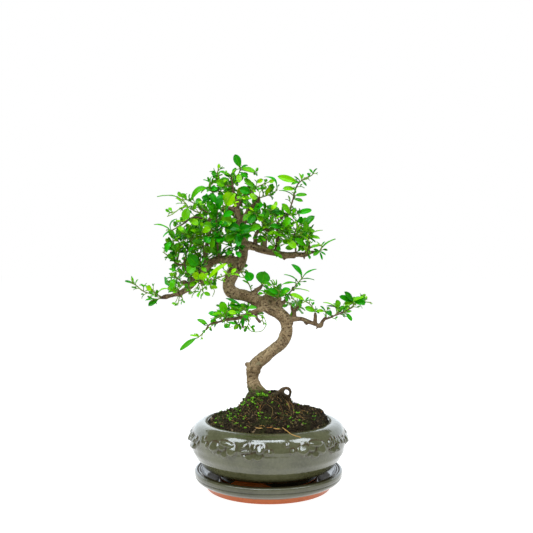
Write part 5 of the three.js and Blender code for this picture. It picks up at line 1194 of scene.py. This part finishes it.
def build_wood():
    """One skin over the trunk, its limbs, knobs and roots, pushed in and out for the bark."""
    shape = Shape()
    axes, ahead, girth = [], [], []
    chance = np.random.default_rng(7)
    for name, points in {"trunk": TRUNK, **LIMBS, **KNOBS, **ROOTS}.items():
        route = wood_route(points)
        turns = np.arange(len(route.radii))
        swell, flutes = (0.09, 0.07) if name == "trunk" else (0.16, 0.03)
        route.radii = route.radii * (1 + swell * np.sin(turns * 2.1) * np.cos(turns * 0.7))
        line, radii = route.smooth(1.0)
        tube(shape, line, radii, 14, 0, flutes)
        axes.append(line)
        ahead.append(np.gradient(line, axis=0))
        girth.append(radii)
        if name in LIMBS:
            for step in range(6, len(line) - 4, 9):
                way = unit(chance.normal(size=3) + (0, -0.3, 0.2))
                stub = line[step] + np.outer((0, 1), way) * (radii[step] + 1.5 + 2.5 * chance.random())
                tube(shape, stub, np.array((1.5, 0.9)) * min(radii[step] / 2.4, 1.1), 7, 0)
    rough_wood = shape.piece("wood_form", [])
    remesh = rough_wood.modifiers.new("skin", "REMESH")
    remesh.mode, remesh.voxel_size = "VOXEL", WOOD_VOXEL
    soften = rough_wood.modifiers.new("soften", "SMOOTH")
    soften.factor, soften.iterations = 0.6, 5
    graph = bpy.context.evaluated_depsgraph_get()
    mesh = bpy.data.meshes.new_from_object(rough_wood.evaluated_get(graph))
    bpy.data.objects.remove(rough_wood)
    count = len(mesh.vertices)
    places, normals = np.zeros(count * 3), np.zeros(count * 3)
    mesh.vertices.foreach_get("co", places)
    mesh.vertex_normals.foreach_get("vector", normals)
    places, normals = places.reshape(-1, 3) * 1000, normals.reshape(-1, 3)
    axes, ahead, girth = np.vstack(axes), np.vstack(ahead), np.concatenate(girth)
    ahead /= np.linalg.norm(ahead, axis=1)[:, None]
    nearest = np.zeros(count, int)
    batch = 2000
    for start in range(0, count, batch):
        chunk = places[start : start + batch]
        gap = ((chunk[:, None] - axes[None]) ** 2).sum(2) - girth[None] ** 2
        nearest[start : start + batch] = gap.argmin(1)
    along, thick = ahead[nearest], girth[nearest]
    grain = places - along * ((places * along).sum(1) * 0.82)[:, None]
    ridges = rough(grain * 0.62, 3, 5)
    lumps = rough(places * 0.17, 3, 9)
    pits = rough(places * 1.1, 2, 23)
    crack = -np.clip(-ridges - 0.12, 0, 1) * 2.4
    depth = np.minimum(0.2 + thick / 5, 1.25)
    push = depth * (0.45 * lumps + 0.34 * ridges + 0.12 * pits + 0.35 * crack)
    places = places + normals * push[:, None]
    mesh.vertices.foreach_set("co", (places * 0.001).ravel())
    topology = ("position", ".edge_verts", ".corner_vert", ".corner_edge")
    for old in list(mesh.attributes):
        if old.name not in topology and not old.is_required:
            mesh.attributes.remove(old)
    marks = {"grain": grain * 0.5, "bark": np.stack((thick, np.clip(crack, -1, 0), lumps), -1)}
    wood = dress(mesh, "trunk_and_limbs", [bark_material], None, marks)
    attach(wood, "root")
    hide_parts("trunk")


build_wood()

# Glazed ware: where each spray of flowers starts round the belly, in degrees, and how much it is raised
BELLY_RADIUS = 76
SPRAY_PLACES = [(-96, -1), (-34, 0), (31, 0), (88, -2), (150, -1), (207, -2)]
# Raised parts: x and z from the part's middle, half-sizes, turn in degrees and height
BLOSSOM = [
    (-9.4, 1.5, 6.3, 5.0, 8, 3.7), (0, 2.6, 3.9, 3.9, 0, 2.7), (10.5, 0.8, 5.3, 6.2, -6, 4.2),
    (4.5, 5.4, 8.6, 2.8, -6, 3.0), (3.5, -3.8, 4.3, 3.9, 0, 3.0), (-3.6, -3.4, 3.0, 2.4, 20, 2.0),
]
FOLIAGE = [
    (4.6, -2.6, 5.0, 4.4, -14, 3.3), (-2.6, -3.6, 4.2, 3.8, 12, 2.9), (6.6, 3.0, 3.4, 3.6, -20, 2.7),
    (-8.2, 4.8, 3.6, 1.3, 40, 2.2), (-7.4, 0.8, 4.2, 1.3, 6, 2.5), (-2.4, 5.4, 1.4, 3.4, 12, 2.4),
    (2.0, 4.4, 1.5, 3.2, -24, 2.6), (-3.4, 1.4, 1.6, 1.6, 0, 3.2), (-8.0, -3.4, 2.6, 1.3, -34, 2.0),
]
# Groups and buds: degrees from the spray's start, height, parts
RAISED = [
    (0, 51, BLOSSOM), (23, 50.4, FOLIAGE), (-15, 52, [(0, 0, 2.3, 3, 0, 2.1)]),
    (31.5, 55.5, [(0, 0, 2.2, 2.2, 0, 1.7)]), (35, 51.6, [(0, 0, 2.6, 2.6, 0, 2.1)]),
    (-18.1, 57, [(0, 0, 1.6, 1.6, 0, 1.4)]), (-7, 47.6, [(0, 0, 1.9, 1.8, 0, 1.6)]),
]


def relief(angle, height):
    """How far the flowers stand out of the belly, for points by angle and height."""
    out = np.zeros(angle.shape)
    for start, rise in SPRAY_PLACES:
        for turn, middle, parts in RAISED:
            away = (angle - math.radians(start + turn) + math.pi) % (2 * math.pi) - math.pi
            for x, z, wide, tall, lean, stand in parts:
                dx, dz = away * BELLY_RADIUS - x, height - middle - rise - z
                c, s = math.cos(math.radians(lean)), math.sin(math.radians(lean))
                u, v = (dx * c + dz * s) / wide, (dz * c - dx * s) / tall
                edge = np.clip(1 - (u * u + v * v) ** 3, 0, 1) ** 0.6
                out = np.maximum(out, edge * np.clip(0.56 * stand - 0.42 * dz, 0.16 * stand, stand))
    return out


def profile_curve(points, spacing, sharp=()):
    """A profile rounded through its points, with corners kept where sharp."""
    cuts = [0, *sharp, len(points) - 1]
    out = []
    for a, b in zip(cuts, cuts[1:]):
        part = Route([(r, 0, z) for r, z in points[a : b + 1]], np.zeros(b + 1 - a))
        line = part.smooth(spacing)[0][:, (0, 2)] if b - a > 1 else np.array(points[a : b + 1], float)
        out.append(line if not out else line[1:])
    return np.vstack(out)


def turned(profile, sides, out):
    """A profile turned round the middle, its radius changed by a formula."""
    angle, _ = np.meshgrid(np.arange(sides) / sides * 2 * math.pi, profile[:, 0])
    radius = np.repeat(profile[:, :1], sides, 1)
    height = np.repeat(profile[:, 1:], sides, 1)
    radius = radius + out(angle, height, radius)
    points = np.stack((radius * np.sin(angle), -radius * np.cos(angle), height), -1)
    return points.reshape(-1, 3), grid_faces(len(profile), sides, True), angle.ravel(), height.ravel()


# The pot's profile as radius and height: up the foot and wall, over the rim, down the inside to the hole
FOOT_AND_WALL = [
    (41, 9.3), (47.5, 9.3), (48.2, 10), (49, 15.8), (50.2, 16.6), (57, 17.6), (64.8, 22), (68.7, 26.5),
    (72.8, 32.4), (75.2, 37.4), (76.9, 46),
]
SHOULDER = [(76.9, 46), (76.4, 53), (74.6, 58.6), (71.6, 62.4), (67, 64.5), (62.4, 64.8), (60.6, 64.6)]
INSIDE = [
    (60.6, 64.6), (59.8, 63.6), (60.4, 60.6), (69.2, 54.4), (70.8, 42), (62, 25.5), (47, 19), (6, 19),
    (6, 13.5), (39, 13.5), (41, 9.3),
]
RELIEF_LOW, RELIEF_HIGH = 34, 62


def belly(angle, height, radius, rows):
    """How much the hand of the potter and the flowers move the outside, which has the first rows."""
    thrown = 0.12 * np.sin(height * 0.9 + 0.6 * np.sin(angle * 2))
    thrown = thrown + 0.2 * np.sin(angle * 3 + 1) * (radius > 56)
    outer = np.zeros(height.shape)
    outside = np.arange(len(height))[:, None] < rows
    inside = outside & (height > RELIEF_LOW) & (height < RELIEF_HIGH)
    outer[inside] = relief(angle[inside], height[inside])
    return thrown * (radius > 40) * outside * np.clip((64 - height) / 6, 0.2, 1) + outer


def build_pot():
    wall = np.vstack((profile_curve(FOOT_AND_WALL, 1.0, (1, 3)), profile_curve(SHOULDER, 0.7)[1:]))
    reach = np.concatenate(([0], np.cumsum(np.hypot(*np.diff(wall, axis=0).T))))
    even = np.linspace(0, reach[-1], int(reach[-1] / 0.8))
    outside = np.stack([np.interp(even, reach, wall[:, k]) for k in (0, 1)], -1)
    profile = np.vstack((outside, profile_curve(INSIDE, 2.5, (6, 7, 8, 9))[1:]))
    points, faces, angle, height = turned(profile, 560, lambda a, h, r: belly(a, h, r, len(outside)))
    shape = Shape()
    stand = np.where((height > RELIEF_LOW) & (height < RELIEF_HIGH), relief(angle, height), 0)
    turn = (angle + math.pi) % (2 * math.pi) - math.pi
    shape.add(points, faces, 0, glaze=np.stack((turn, stand, height), -1))
    pot = shape.piece("pot_glazed", [glaze_look("pot_glaze")])
    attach(pot, "root")
    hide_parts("pot")


# The saucer's profile: the foot, the wall with its groove, the rim and the dish
SAUCER = [
    (0, 0), (61.4, 0), (61.7, 0.3), (63, 4.6), (63.8, 5.2), (67.2, 6.2), (71.2, 8.7), (72.8, 10.9),
    (73.1, 12.1), (72.6, 12.5), (73.2, 12.9), (73.4, 16.2), (72.9, 17.3), (71.4, 17.6), (69.2, 17.2),
    (67.8, 17.5), (67.1, 17.2), (66.7, 16.2), (66.0, 15.2), (62, 11.4), (54, 9), (0, 9),
]


def build_saucer():
    profile = profile_curve(SAUCER, 0.9, (1, 2, 3, 4, 8, 9, 10, 16, 20))
    points, faces, angle, height = turned(profile, 360, lambda a, h, r: 0.12 * np.sin(2 * a + 1) * (r > 30))
    shape = Shape()
    turn = (angle + math.pi) % (2 * math.pi) - math.pi
    # Painted shade: the dish and the inner part of the rim's top are marked to be darkened
    dish_shade_mask = np.clip((72.4 - np.hypot(points[:, 0], points[:, 1])) / 1.6, 0, 1) * (height > 8.5)
    shape.add(points, faces, 0, glaze=np.stack((turn, dish_shade_mask, height), -1))
    saucer = shape.piece("saucer_glazed", [glaze_look("saucer_glaze")])
    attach(saucer, "root")
    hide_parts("saucer")


def glaze_look(name):
    """Olive glaze over clay: its mark holds the turn, the raised height or the share of painted shade in the
    dish, and the height.
    """
    look = Look(name, 0.09, 0.5, 0.35, 0.03)
    look.shader.inputs["IOR"].default_value = 1.6
    inside = look.place()
    turn, stand, height = look.parts(look.mark("glaze"))
    clouds = look.noise(inside, 34, 5, 0.6)
    specks = look.cells(inside, 520)
    mottle = look.noise(inside, 420, 4, 0.7)
    green = look.mix(look.span(clouds, 0.35, 0.65), tint(60, 60, 32), tint(88, 88, 60))
    green = look.mix(look.span(mottle, 0.4, 0.62, 0, 0.35), green, tint(106, 106, 78))
    green = look.mix(look.span(specks, 0.0, 0.13, 0.5, 0), green, tint(44, 36, 18))
    if name == "pot_glaze":
        # Painted shade and reflection: the pot's underside is darker and browner, as the dark dish below
        # shows in it
        under = look.span(height, 19.5, 25, 1, 0)
        green = look.mix(under, green, look.mix(0.7, green, tint(64, 52, 14)))
        edges = look.span(stand, 0.05, 0.9, 1, 0)
        edges = look.sum("MULTIPLY", edges, look.span(stand, 0.0, 0.05, 0, 1))
        green = look.mix(look.sum("MULTIPLY", edges, 0.75), green, tint(62, 36, 20))
        crown = look.span(stand, 2.2, 4.4, 0, 0.3)
        green = look.mix(crown, green, tint(118, 116, 84))
        away = look.sum("MULTIPLY", look.sum("ADD", turn, 0.385), 2.15)
        bow = look.sum("SUBTRACT", 1.0, look.sum("MULTIPLY", away, away))
        line = look.sum("ADD", look.sum("MULTIPLY", look.sum("MAXIMUM", bow, 0.0), 7.0), 10.6)
        line = look.sum("ADD", line, look.span(look.noise(inside, 60), 0.3, 0.7, -0.7, 0.7))
    else:
        line = look.sum("ADD", 4.7, look.span(look.noise(inside, 50), 0.3, 0.7, -0.35, 0.35))
        # Painted shade: a dark line along the groove in the saucer's outer wall
        groove = look.span(look.sum("ABSOLUTE", look.sum("SUBTRACT", height, 12.5)), 0.1, 0.4, 0.8, 0)
        green = look.mix(groove, green, tint(36, 30, 20))
        # Painted shade: the dish and the inner part of the rim darker brown
        dish_shade = look.span(stand, 0, 1, 0.25, 0.85)
        green = look.mix(dish_shade, green, tint(44, 36, 16))
    bare = look.span(look.sum("SUBTRACT", line, height), -0.15, 0.15)
    clay = look.mix(look.noise(inside, 240, 5, 0.7), tint(164, 74, 26), tint(200, 106, 50))
    clay = look.mix(look.span(look.cells(inside, 900), 0, 0.15, 0.5, 0), clay, tint(120, 60, 34))
    # Painted light: the pot's foot clay is made brighter and more orange, as if lit where it sits in the
    # pot's shade
    if name == "pot_glaze":
        clay = look.mix(0.9, clay, tint(255, 128, 6))
    colour = look.mix(bare, green, clay)
    shine = look.sum("ADD", look.sum("MULTIPLY", bare, 0.65), look.span(mottle, 0.3, 0.7, 0.06, 0.14))
    if name == "saucer_glaze":
        shine = look.sum("ADD", shine, look.span(look.sum("ABSOLUTE", turn), 0.5, 0.9, 0.3, 0))
    orange_peel = look.sum("ADD", look.sum("MULTIPLY", clouds, 1.4), look.sum("MULTIPLY", mottle, 0.08))
    bump = look.bump(orange_peel, 0.0011, 0.5)
    return look.set(Base_Color=colour, Roughness=shine, Normal=bump)


# Soil: a mound that is highest beside the trunk, with crumbs, moss, straw and the hairs of roots
MOUND = [
    (0, 92.4), (12, 91.4), (18, 88.2), (23, 84), (27, 79), (32, 75.2), (38, 72.4), (47, 70.4), (54, 69.2),
    (58, 67.5), (70, 62),
]
SOIL_RADIUS = 59


def soil_height(x, y):
    x, y = np.asarray(x, float), np.asarray(y, float)
    away = np.hypot(x + 1.5, y - 2)
    steep = np.clip((away - 26) / 14, 0, 1)
    lean = 2.8 * steep * steep * (3 - 2 * steep) * (x + 1.5) / np.maximum(away, 1)
    mound = np.interp(away, *np.array(MOUND).T) + lean
    waves = 0.9 * np.sin(x * 0.31 + y * 0.17) * np.cos(y * 0.27 - x * 0.11)
    edge = np.clip((np.hypot(x, y) - 56) / 3.3, 0, 1)
    edge = edge * edge * (3 - 2 * edge)
    flat = np.stack(np.broadcast_arrays(x, y, 0 * x), -1).reshape(-1, 3)
    clods = 1.1 * rough(flat * 0.16, 3, 41) + 0.7 * rough(flat * 0.5, 3, 43)
    return (mound + waves) * (1 - edge) + 63.4 * edge + clods.reshape(x.shape) * (1 - 0.6 * edge)


def soil_look():
    look = Look("soil", 0.92, 0.2)
    chance, _, _ = look.parts(look.mark("crumb"))
    inside = look.place()
    fine = look.noise(inside, 700, 6, 0.7)
    colour = look.mix(look.span(fine, 0.3, 0.7), tint(6, 3, 1), tint(58, 46, 27))
    colour = look.mix(look.span(chance, 0.6, 1.0, 0, 0.85), colour, tint(112, 95, 62))
    colour = look.mix(look.span(chance, 0.975, 0.985, 0, 0.85), colour, tint(150, 126, 96))
    moss = look.span(look.noise(inside, 60, 4), 0.52, 0.66, 0, 0.7)
    left = look.span(look.parts(inside)[0], -0.05, 0.05, 1, 0.35)
    colour = look.mix(look.sum("MULTIPLY", moss, left), colour, tint(50, 62, 14))
    return look.set(Base_Color=colour, Normal=look.bump(fine, 0.0012, 0.9))


def build_soil():
    shape = Shape()
    radii = np.concatenate((np.arange(0.01, 54, 0.9), np.arange(54, 59.6, 0.7)))
    sides = 300
    angle, radius = np.meshgrid(np.arange(sides) / sides * 2 * math.pi, radii)
    x, y = radius * np.sin(angle), -radius * np.cos(angle)
    top = np.stack((x, y, soil_height(x, y)), -1)
    wall = [(59.6, 62.4), (59.9, 60.8), (68.7, 54.2), (70.3, 42), (61.5, 26), (46.6, 19.4), (0.01, 19.4)]
    a = angle[0]
    side = np.stack([np.stack((r * np.sin(a), -r * np.cos(a), np.full(sides, z)), -1) for r, z in wall])
    points = np.vstack((top, side)).reshape(-1, 3)
    chance = (0.5 + 0.5 * noise(points * 0.9, 77)) * 0.6
    shape.add(points, grid_faces(len(top) + len(side), sides, True), 0, crumb=np.stack((chance,) * 3, -1))
    soil = shape.piece("soil_mound", [soil_material])
    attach(soil, "root")
    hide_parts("soil")


def scatter(count, seed):
    """Even random places over the mound."""
    chance = np.random.default_rng(seed)
    radius, angle = SOIL_RADIUS * np.sqrt(chance.random(count)), chance.random(count) * 2 * math.pi
    x, y = radius * np.sin(angle), -radius * np.cos(angle)
    return chance, x, y


PHI = (1 + 5**0.5) / 2
BALL = np.array(
    [(0, a, b * PHI) for a in (-1, 1) for b in (-1, 1)]
    + [(a, b * PHI, 0) for a in (-1, 1) for b in (-1, 1)]
    + [(b * PHI, 0, a) for a in (-1, 1) for b in (-1, 1)]
) / math.hypot(1, PHI)


def ball_faces():
    """The twenty faces of BALL: each three corners that are neighbours, turned outwards."""
    near = np.linalg.norm(BALL[:, None] - BALL[None], axis=2) < 1.06 * 2 / math.hypot(1, PHI)
    faces = []
    for a in range(12):
        for b in range(a + 1, 12):
            for c in range(b + 1, 12):
                if near[a, b] and near[b, c] and near[a, c]:
                    out = np.cross(BALL[b] - BALL[a], BALL[c] - BALL[a]) @ (BALL[a] + BALL[b] + BALL[c])
                    faces.append((a, b, c) if out > 0 else (a, c, b))
    return np.array(faces)


def turn_matrices(chance, count):
    """Random turns in space."""
    q = chance.normal(size=(count, 4))
    w, x, y, z = (q / np.linalg.norm(q, axis=1)[:, None]).T
    rows = (
        (1 - 2 * (y * y + z * z), 2 * (x * y - z * w), 2 * (x * z + y * w)),
        (2 * (x * y + z * w), 1 - 2 * (x * x + z * z), 2 * (y * z - x * w)),
        (2 * (x * z - y * w), 2 * (y * z + x * w), 1 - 2 * (x * x + y * y)),
    )
    return np.moveaxis(np.array(rows), 2, 0)


def build_crumbs():
    count = 5200
    chance, x, y = scatter(count, 4)
    size = 0.35 + 1.15 * chance.random(count) ** 2.6
    shapes = BALL[None] * (0.6 + 0.7 * chance.random((count, 12, 1)))
    shapes = shapes * (0.6 + 0.8 * chance.random((count, 1, 3)))
    points = np.einsum("nij,nkj->nki", turn_matrices(chance, count), shapes) * size[:, None, None]
    points += np.stack((x, y, soil_height(x, y) + size * 0.25), -1)[:, None]
    faces = ball_faces()[None] + (np.arange(count) * 12)[:, None, None]
    tone = np.repeat(np.stack((chance.random(count),) * 3, -1), 12, 0)
    shape = Shape()
    shape.add(points.reshape(-1, 3), faces.reshape(-1, 3), 0, crumb=tone)
    crumbs = shape.piece("soil_crumbs", [soil_material], False)
    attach(crumbs, "root")


def moss_look():
    look = Look("moss", 0.6, 0.4)
    age, chance, _ = look.parts(look.mark("tone"))
    green = look.mix(chance, tint(44, 76, 6), tint(96, 138, 12))
    fine = look.noise(look.place(), 1500, 3)
    colour = look.mix(age, green, tint(146, 232, 24))
    colour = look.mix(look.span(fine, 0.3, 0.7, 0, 0.4), colour, tint(38, 50, 10))
    return look.set(Base_Color=colour, Normal=look.bump(fine, 0.0004, 0.6))


TUFT_FACES = [(0, 1, 4), (1, 2, 4), (2, 3, 4), (3, 0, 4), (1, 0, 5), (2, 1, 5), (3, 2, 5), (0, 3, 5)]


def moss_spots():
    """The draws for the moss, and its places with a 1 where a seedling stands."""
    count = 900
    chance, x, y = scatter(count, 12)
    patch = 0.5 + 0.5 * rough(np.stack((x, y, 0 * x), -1) * 0.07, 3, 3)
    trunk = np.exp(-(((x + 12) / 14) ** 2 + (y / 16) ** 2))
    slope = np.exp(-(((x + 34) / 16) ** 2 + ((y + 22) / 22) ** 2))
    near = 0.8 * trunk + 0.45 * slope
    keep = chance.random(count) < np.clip(near + 0.35 * (patch - 0.52) + 0.06, 0, 1)
    spots = [(a, b, 0) for a, b in zip(x[keep], y[keep])]
    spots += [(*p, 1) for p in SEEDLINGS]

    def down_the_slope():
        along = chance.random() ** 0.9
        return -8 - 38 * along + 3.5 * chance.normal(), 92 - 27 * along**0.8 + 2.6 * chance.normal()

    def by_the_trunk():
        return -8 + 4 * chance.normal(), 88.5 + 2.6 * chance.normal()

    def anywhere():
        return 52 * (2 * chance.random() - 1), 84 - 24 * chance.random()

    for number, place, seedlings in (100, down_the_slope, 0.35), (40, by_the_trunk, 0.4), (45, anywhere, 0.5):
        for _ in range(number):
            spots.append((*from_front(*place())[:2], int(chance.random() < seedlings)))
    return chance, spots


def build_moss():
    """Tufts of tiny blades, thick on the left slope and round the trunk, and a few seedlings."""
    shape = Shape()
    chance, spots = moss_spots()
    for px, py, seedling in spots:
        if math.hypot(px, py) > SOIL_RADIUS - 1:
            continue
        ground = soil_height(px, py)
        for _ in range(4 if seedling else 7):
            lean = chance.normal(size=2) * 0.7
            heading = unit(np.array((lean[0], lean[1], 1.1)))
            long = 1.6 + 1.4 * chance.random() if seedling else 0.7 + 1.1 * chance.random()
            wide = long * (0.55 if seedling else 0.32)
            aside = chance.normal(size=2) * (0.5 if seedling else 0.9)
            base = np.array((px, py, ground)) + np.append(aside, -0.15)
            side = unit(np.cross(heading, chance.normal(size=3)))
            out = np.cross(side, heading) * 0.12
            mid, edge = base + heading * long * 0.55, side * wide / 2
            points = [base, mid + edge, base + heading * long, mid - edge, mid + out, mid - out]
            tone = (seedling * (0.6 + 0.4 * chance.random()), chance.random(), 0)
            shape.add(np.array(points), TUFT_FACES, 0, tone=tone)
    moss = shape.piece("moss", [moss_look()])
    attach(moss, "root")


def sight_line(px, pz, depth):
    """The x and z of the line of sight through x, z in front, at each depth."""
    way = np.array((px, 0, pz)) - EYE
    t = (depth - EYE[1]) / way[1]
    return EYE[0] + way[0] * t, EYE[2] + way[2] * t


def from_front(px, pz):
    """The place on the mound that is seen at x, z in front."""
    depth = np.linspace(-66, 40, 400)
    x, z = sight_line(px, pz, depth)
    ground = np.where(np.hypot(x, depth) < SOIL_RADIUS, soil_height(x, depth), -99)
    hit = np.argmax(ground > z) if (ground > z).any() else np.argmax(ground - z)
    return np.array((x[hit], depth[hit], ground[hit]))


def on_pot(px, pz):
    """The place on the front of the pot's shoulder that is seen at x, z."""
    depth = np.linspace(-90, -40, 900)
    x, z = sight_line(px, pz, depth)
    wide, high = np.array(SHOULDER[:-1]).T
    hit = np.argmax(np.hypot(x, depth) < np.interp(z, high, wide, right=0) + 0.4)
    return np.array((x[hit], depth[hit], z[hit] + 0.2))


def dry_look():
    look = Look("straw", 0.7, 0.3)
    age, chance, _ = look.parts(look.mark("tone"))
    fine = look.noise(look.mark("grain"), 1.2, 4)
    straw = look.mix(chance, tint(188, 120, 50), tint(214, 172, 100))
    colour = look.mix(age, straw, look.mix(chance, tint(70, 52, 32), tint(124, 104, 66)))
    colour = look.mix(look.span(fine, 0.35, 0.7, 0, 0.5), colour, tint(120, 78, 36))
    return look.set(Base_Color=colour, Normal=look.bump(fine, 0.0003, 0.5))


def build_litter():
    """Straw and root hairs that lie on the soil, and the one straw over the rim."""
    shape = Shape()
    chance = np.random.default_rng(31)
    for points, radius, age in LITTER:
        line = np.array([from_front(a, b) + (0, 0, lift) for a, b, lift in points])
        line, radii = Route(line, np.full(len(line), radius)).smooth(0.9)
        radii = radii * (0.62 if age == 0 else 0.5) * (1 - 0.5 * np.abs(np.linspace(-1, 1, len(radii))) ** 3)
        tube(shape, line, radii, 6, 0, tone=(age, chance.random(), 0), grain=line * (0.4, 3, 3))
    for index in range(150):
        root = index > 60
        radius, angle = (30 if root else 56) * math.sqrt(chance.random()), chance.random() * 2 * math.pi
        spot = np.array((radius * math.sin(angle), -radius * math.cos(angle))) + ((6, -8) if root else (0, 0))
        way, line = chance.random() * CIRCLE, []
        long = (4 + 9 * chance.random()) if root else (2 + 6 * chance.random())
        for step in range(7):
            line.append((*spot, float(soil_height(*spot)) + 0.25 + 0.9 * chance.random() * (step % 3 == 1)))
            way += chance.normal() * (0.55 if root else 0.16)
            spot = spot + np.array((math.sin(way), math.cos(way))) * long / 6
            if np.hypot(*spot) > 58.6:
                break
        if len(line) < 3:
            continue
        thick = 0.1 + 0.1 * chance.random() + (0 if root else 0.05)
        line, radii = Route(line, np.full(len(line), thick)).smooth(1.0)
        tone = (0.35 + 0.65 * root * chance.random(), chance.random(), 0)
        tube(shape, line, radii, 5, 0, tone=tone, grain=line)
    straw = [from_front(14, 56) + (0, 0, 0.6)]
    straw += [on_pot(px, pz) for px, pz in ((22, 50.6), (25, 49.2), (28, 48.2), (32.5, 46.9))]
    line, radii = Route(straw, (0.42, 0.45, 0.45, 0.42, 0.3)).smooth(0.8)
    tube(shape, line, radii, 6, 0, tone=(0, 0.7, 0), grain=line * (0.4, 3, 3))
    litter = shape.piece("straw_and_roots", [dry_look()])
    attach(litter, "root")


# Straw and root hairs: points as x and z in front and the lift over the soil, then the radius and the age
LITTER = [
    ([(-13, 56.5, 0.4), (-10, 55.4, 0.7), (-6, 55.6, 0.5)], 0.9, 0),
    ([(-2, 56.6, 0.3), (1, 56, 0.8), (4, 57, 0.4)], 0.7, 0),
    ([(5, 55.6, 0.5), (8, 54.8, 0.8), (12, 54.6, 0.6)], 0.9, 0),
    ([(-9, 57.8, 0.4), (-6, 58.2, 0.8), (-4, 57.4, 0.3)], 0.6, 0),
    ([(12, 88, 0.6), (19, 84, 1.6), (24, 78, 1.2), (25, 70, 0.6)], 0.5, 0.7),
    ([(9, 92, 0.8), (15, 89, 2.2), (20, 82, 1.4), (27, 76, 0.6)], 0.4, 0.6),
    ([(4, 84, 0.5), (10, 80, 1.6), (14, 72, 1.0), (13, 64, 0.5)], 0.4, 0.8),
    ([(16, 90, 0.5), (24, 88, 1.8), (33, 81, 0.8)], 0.35, 0.5),
    ([(-2, 80, 0.6), (4, 74, 1.4), (3, 66, 0.5)], 0.35, 0.7),
    ([(-32, 70, 0.4), (-24, 66, 1.2), (-18, 60, 0.5)], 0.4, 0.4),
    ([(-40, 64, 0.5), (-34, 62, 1.0), (-29, 57, 0.4)], 0.4, 0.3),
    ([(30, 70, 0.4), (36, 64, 1.0), (44, 60, 0.4)], 0.35, 0.5),
]
SEEDLINGS = [
    (-44, -36), (-31, -40), (-26, -46), (-22, -50), (18, -52), (34, -43), (-48, -8), (-38, -16),
    (-30, -24), (10, -30), (28, -24), (-8, -36), (-34, 4), (-24, -8), (44, -12), (-52, -20),
]
soil_material = soil_look()
build_pot()
build_saucer()
build_soil()
build_crumbs()
build_moss()
build_litter()

# Stage: floor, light and camera
floor = bpy.data.meshes.new("floor")
floor.from_pydata([(-6, -0.32, 0), (6, -0.32, 0), (6, 12, 0), (-6, 12, 0)], [], [(0, 1, 2, 3)])
ground = Look("floor", 0.9, 0.1)
ground.shader.inputs["Base Color"].default_value = (0.3, 0.3, 0.3, 1)
ground.shader.inputs["Emission Color"].default_value = (1, 1, 1, 1)
ground.shader.inputs["Emission Strength"].default_value = 0.94
dress(floor, "floor", [ground.material])


def softbox(name, place, target, size, power):
    """A cool light of a width and height in metres, turned to its target and hidden from the camera."""
    light = bpy.data.lights.new(name, "AREA")
    light.shape, light.size, light.size_y, light.energy = "RECTANGLE", size[0], size[1], power
    light.color = (0.84, 0.92, 1.0)
    made = bpy.data.objects.new(name, light)
    bpy.context.scene.collection.objects.link(made)
    made.location = place
    made.rotation_euler = (Vector(target) - Vector(place)).to_track_quat("-Z", "Y").to_euler()
    made.visible_camera = False
    return made


softbox("light_top", (0.0, -0.62, 1.3), (0, 0, 0.1), (0.8, 0.28), 7)
softbox("light_top_left", (-1.15, -0.54, 1.6), (0, 0, 0.1), (0.8, 0.6), 13)
softbox("light_top_right", (1.15, -0.54, 1.6), (0, 0, 0.1), (0.8, 0.6), 13)
softbox("light_left", (-1.25, 1.8, 0.5), (0, 0, 0.1), (2.4, 1.6), 20)
softbox("light_right", (1.25, 1.8, 0.5), (0, 0, 0.1), (2.4, 1.6), 17)
softbox("light_front", (-0.6, -1.4, 1.75), (0, 0, 0.14), (0.7, 0.6), 14)
softbox("light_low", (-0.4, -1.5, 0.12), (0, 0, 0.03), (0.8, 0.2), 2.5).visible_glossy = False

world = bpy.data.worlds.new("studio")
bpy.context.scene.world = world
world.use_nodes = True
sky = world.node_tree
for node in list(sky.nodes):
    sky.nodes.remove(node)
output = sky.nodes.new("ShaderNodeOutputWorld")
shown, lit = sky.nodes.new("ShaderNodeBackground"), sky.nodes.new("ShaderNodeBackground")
shown.inputs["Strength"].default_value = 1.0
lit.inputs["Strength"].default_value = 0.2
choose, path = sky.nodes.new("ShaderNodeMixShader"), sky.nodes.new("ShaderNodeLightPath")
for back in (shown, lit):
    back.inputs["Color"].default_value = (1, 1, 1, 1)
sky.links.new(path.outputs["Is Camera Ray"], choose.inputs[0])
sky.links.new(lit.outputs[0], choose.inputs[1])
sky.links.new(shown.outputs[0], choose.inputs[2])
sky.links.new(choose.outputs[0], output.inputs[0])

bpy.context.scene.view_settings.view_transform = "Standard"
lens = bpy.data.cameras.new("camera")
lens.lens, lens.sensor_width, lens.clip_end = 50, 36, 60
camera = bpy.data.objects.new("camera", lens)
bpy.context.scene.collection.objects.link(camera)
camera.location = (-0.002, -0.740, 0.218)
camera.rotation_euler = (math.radians(90), 0, 0)
bpy.context.scene.camera = camera
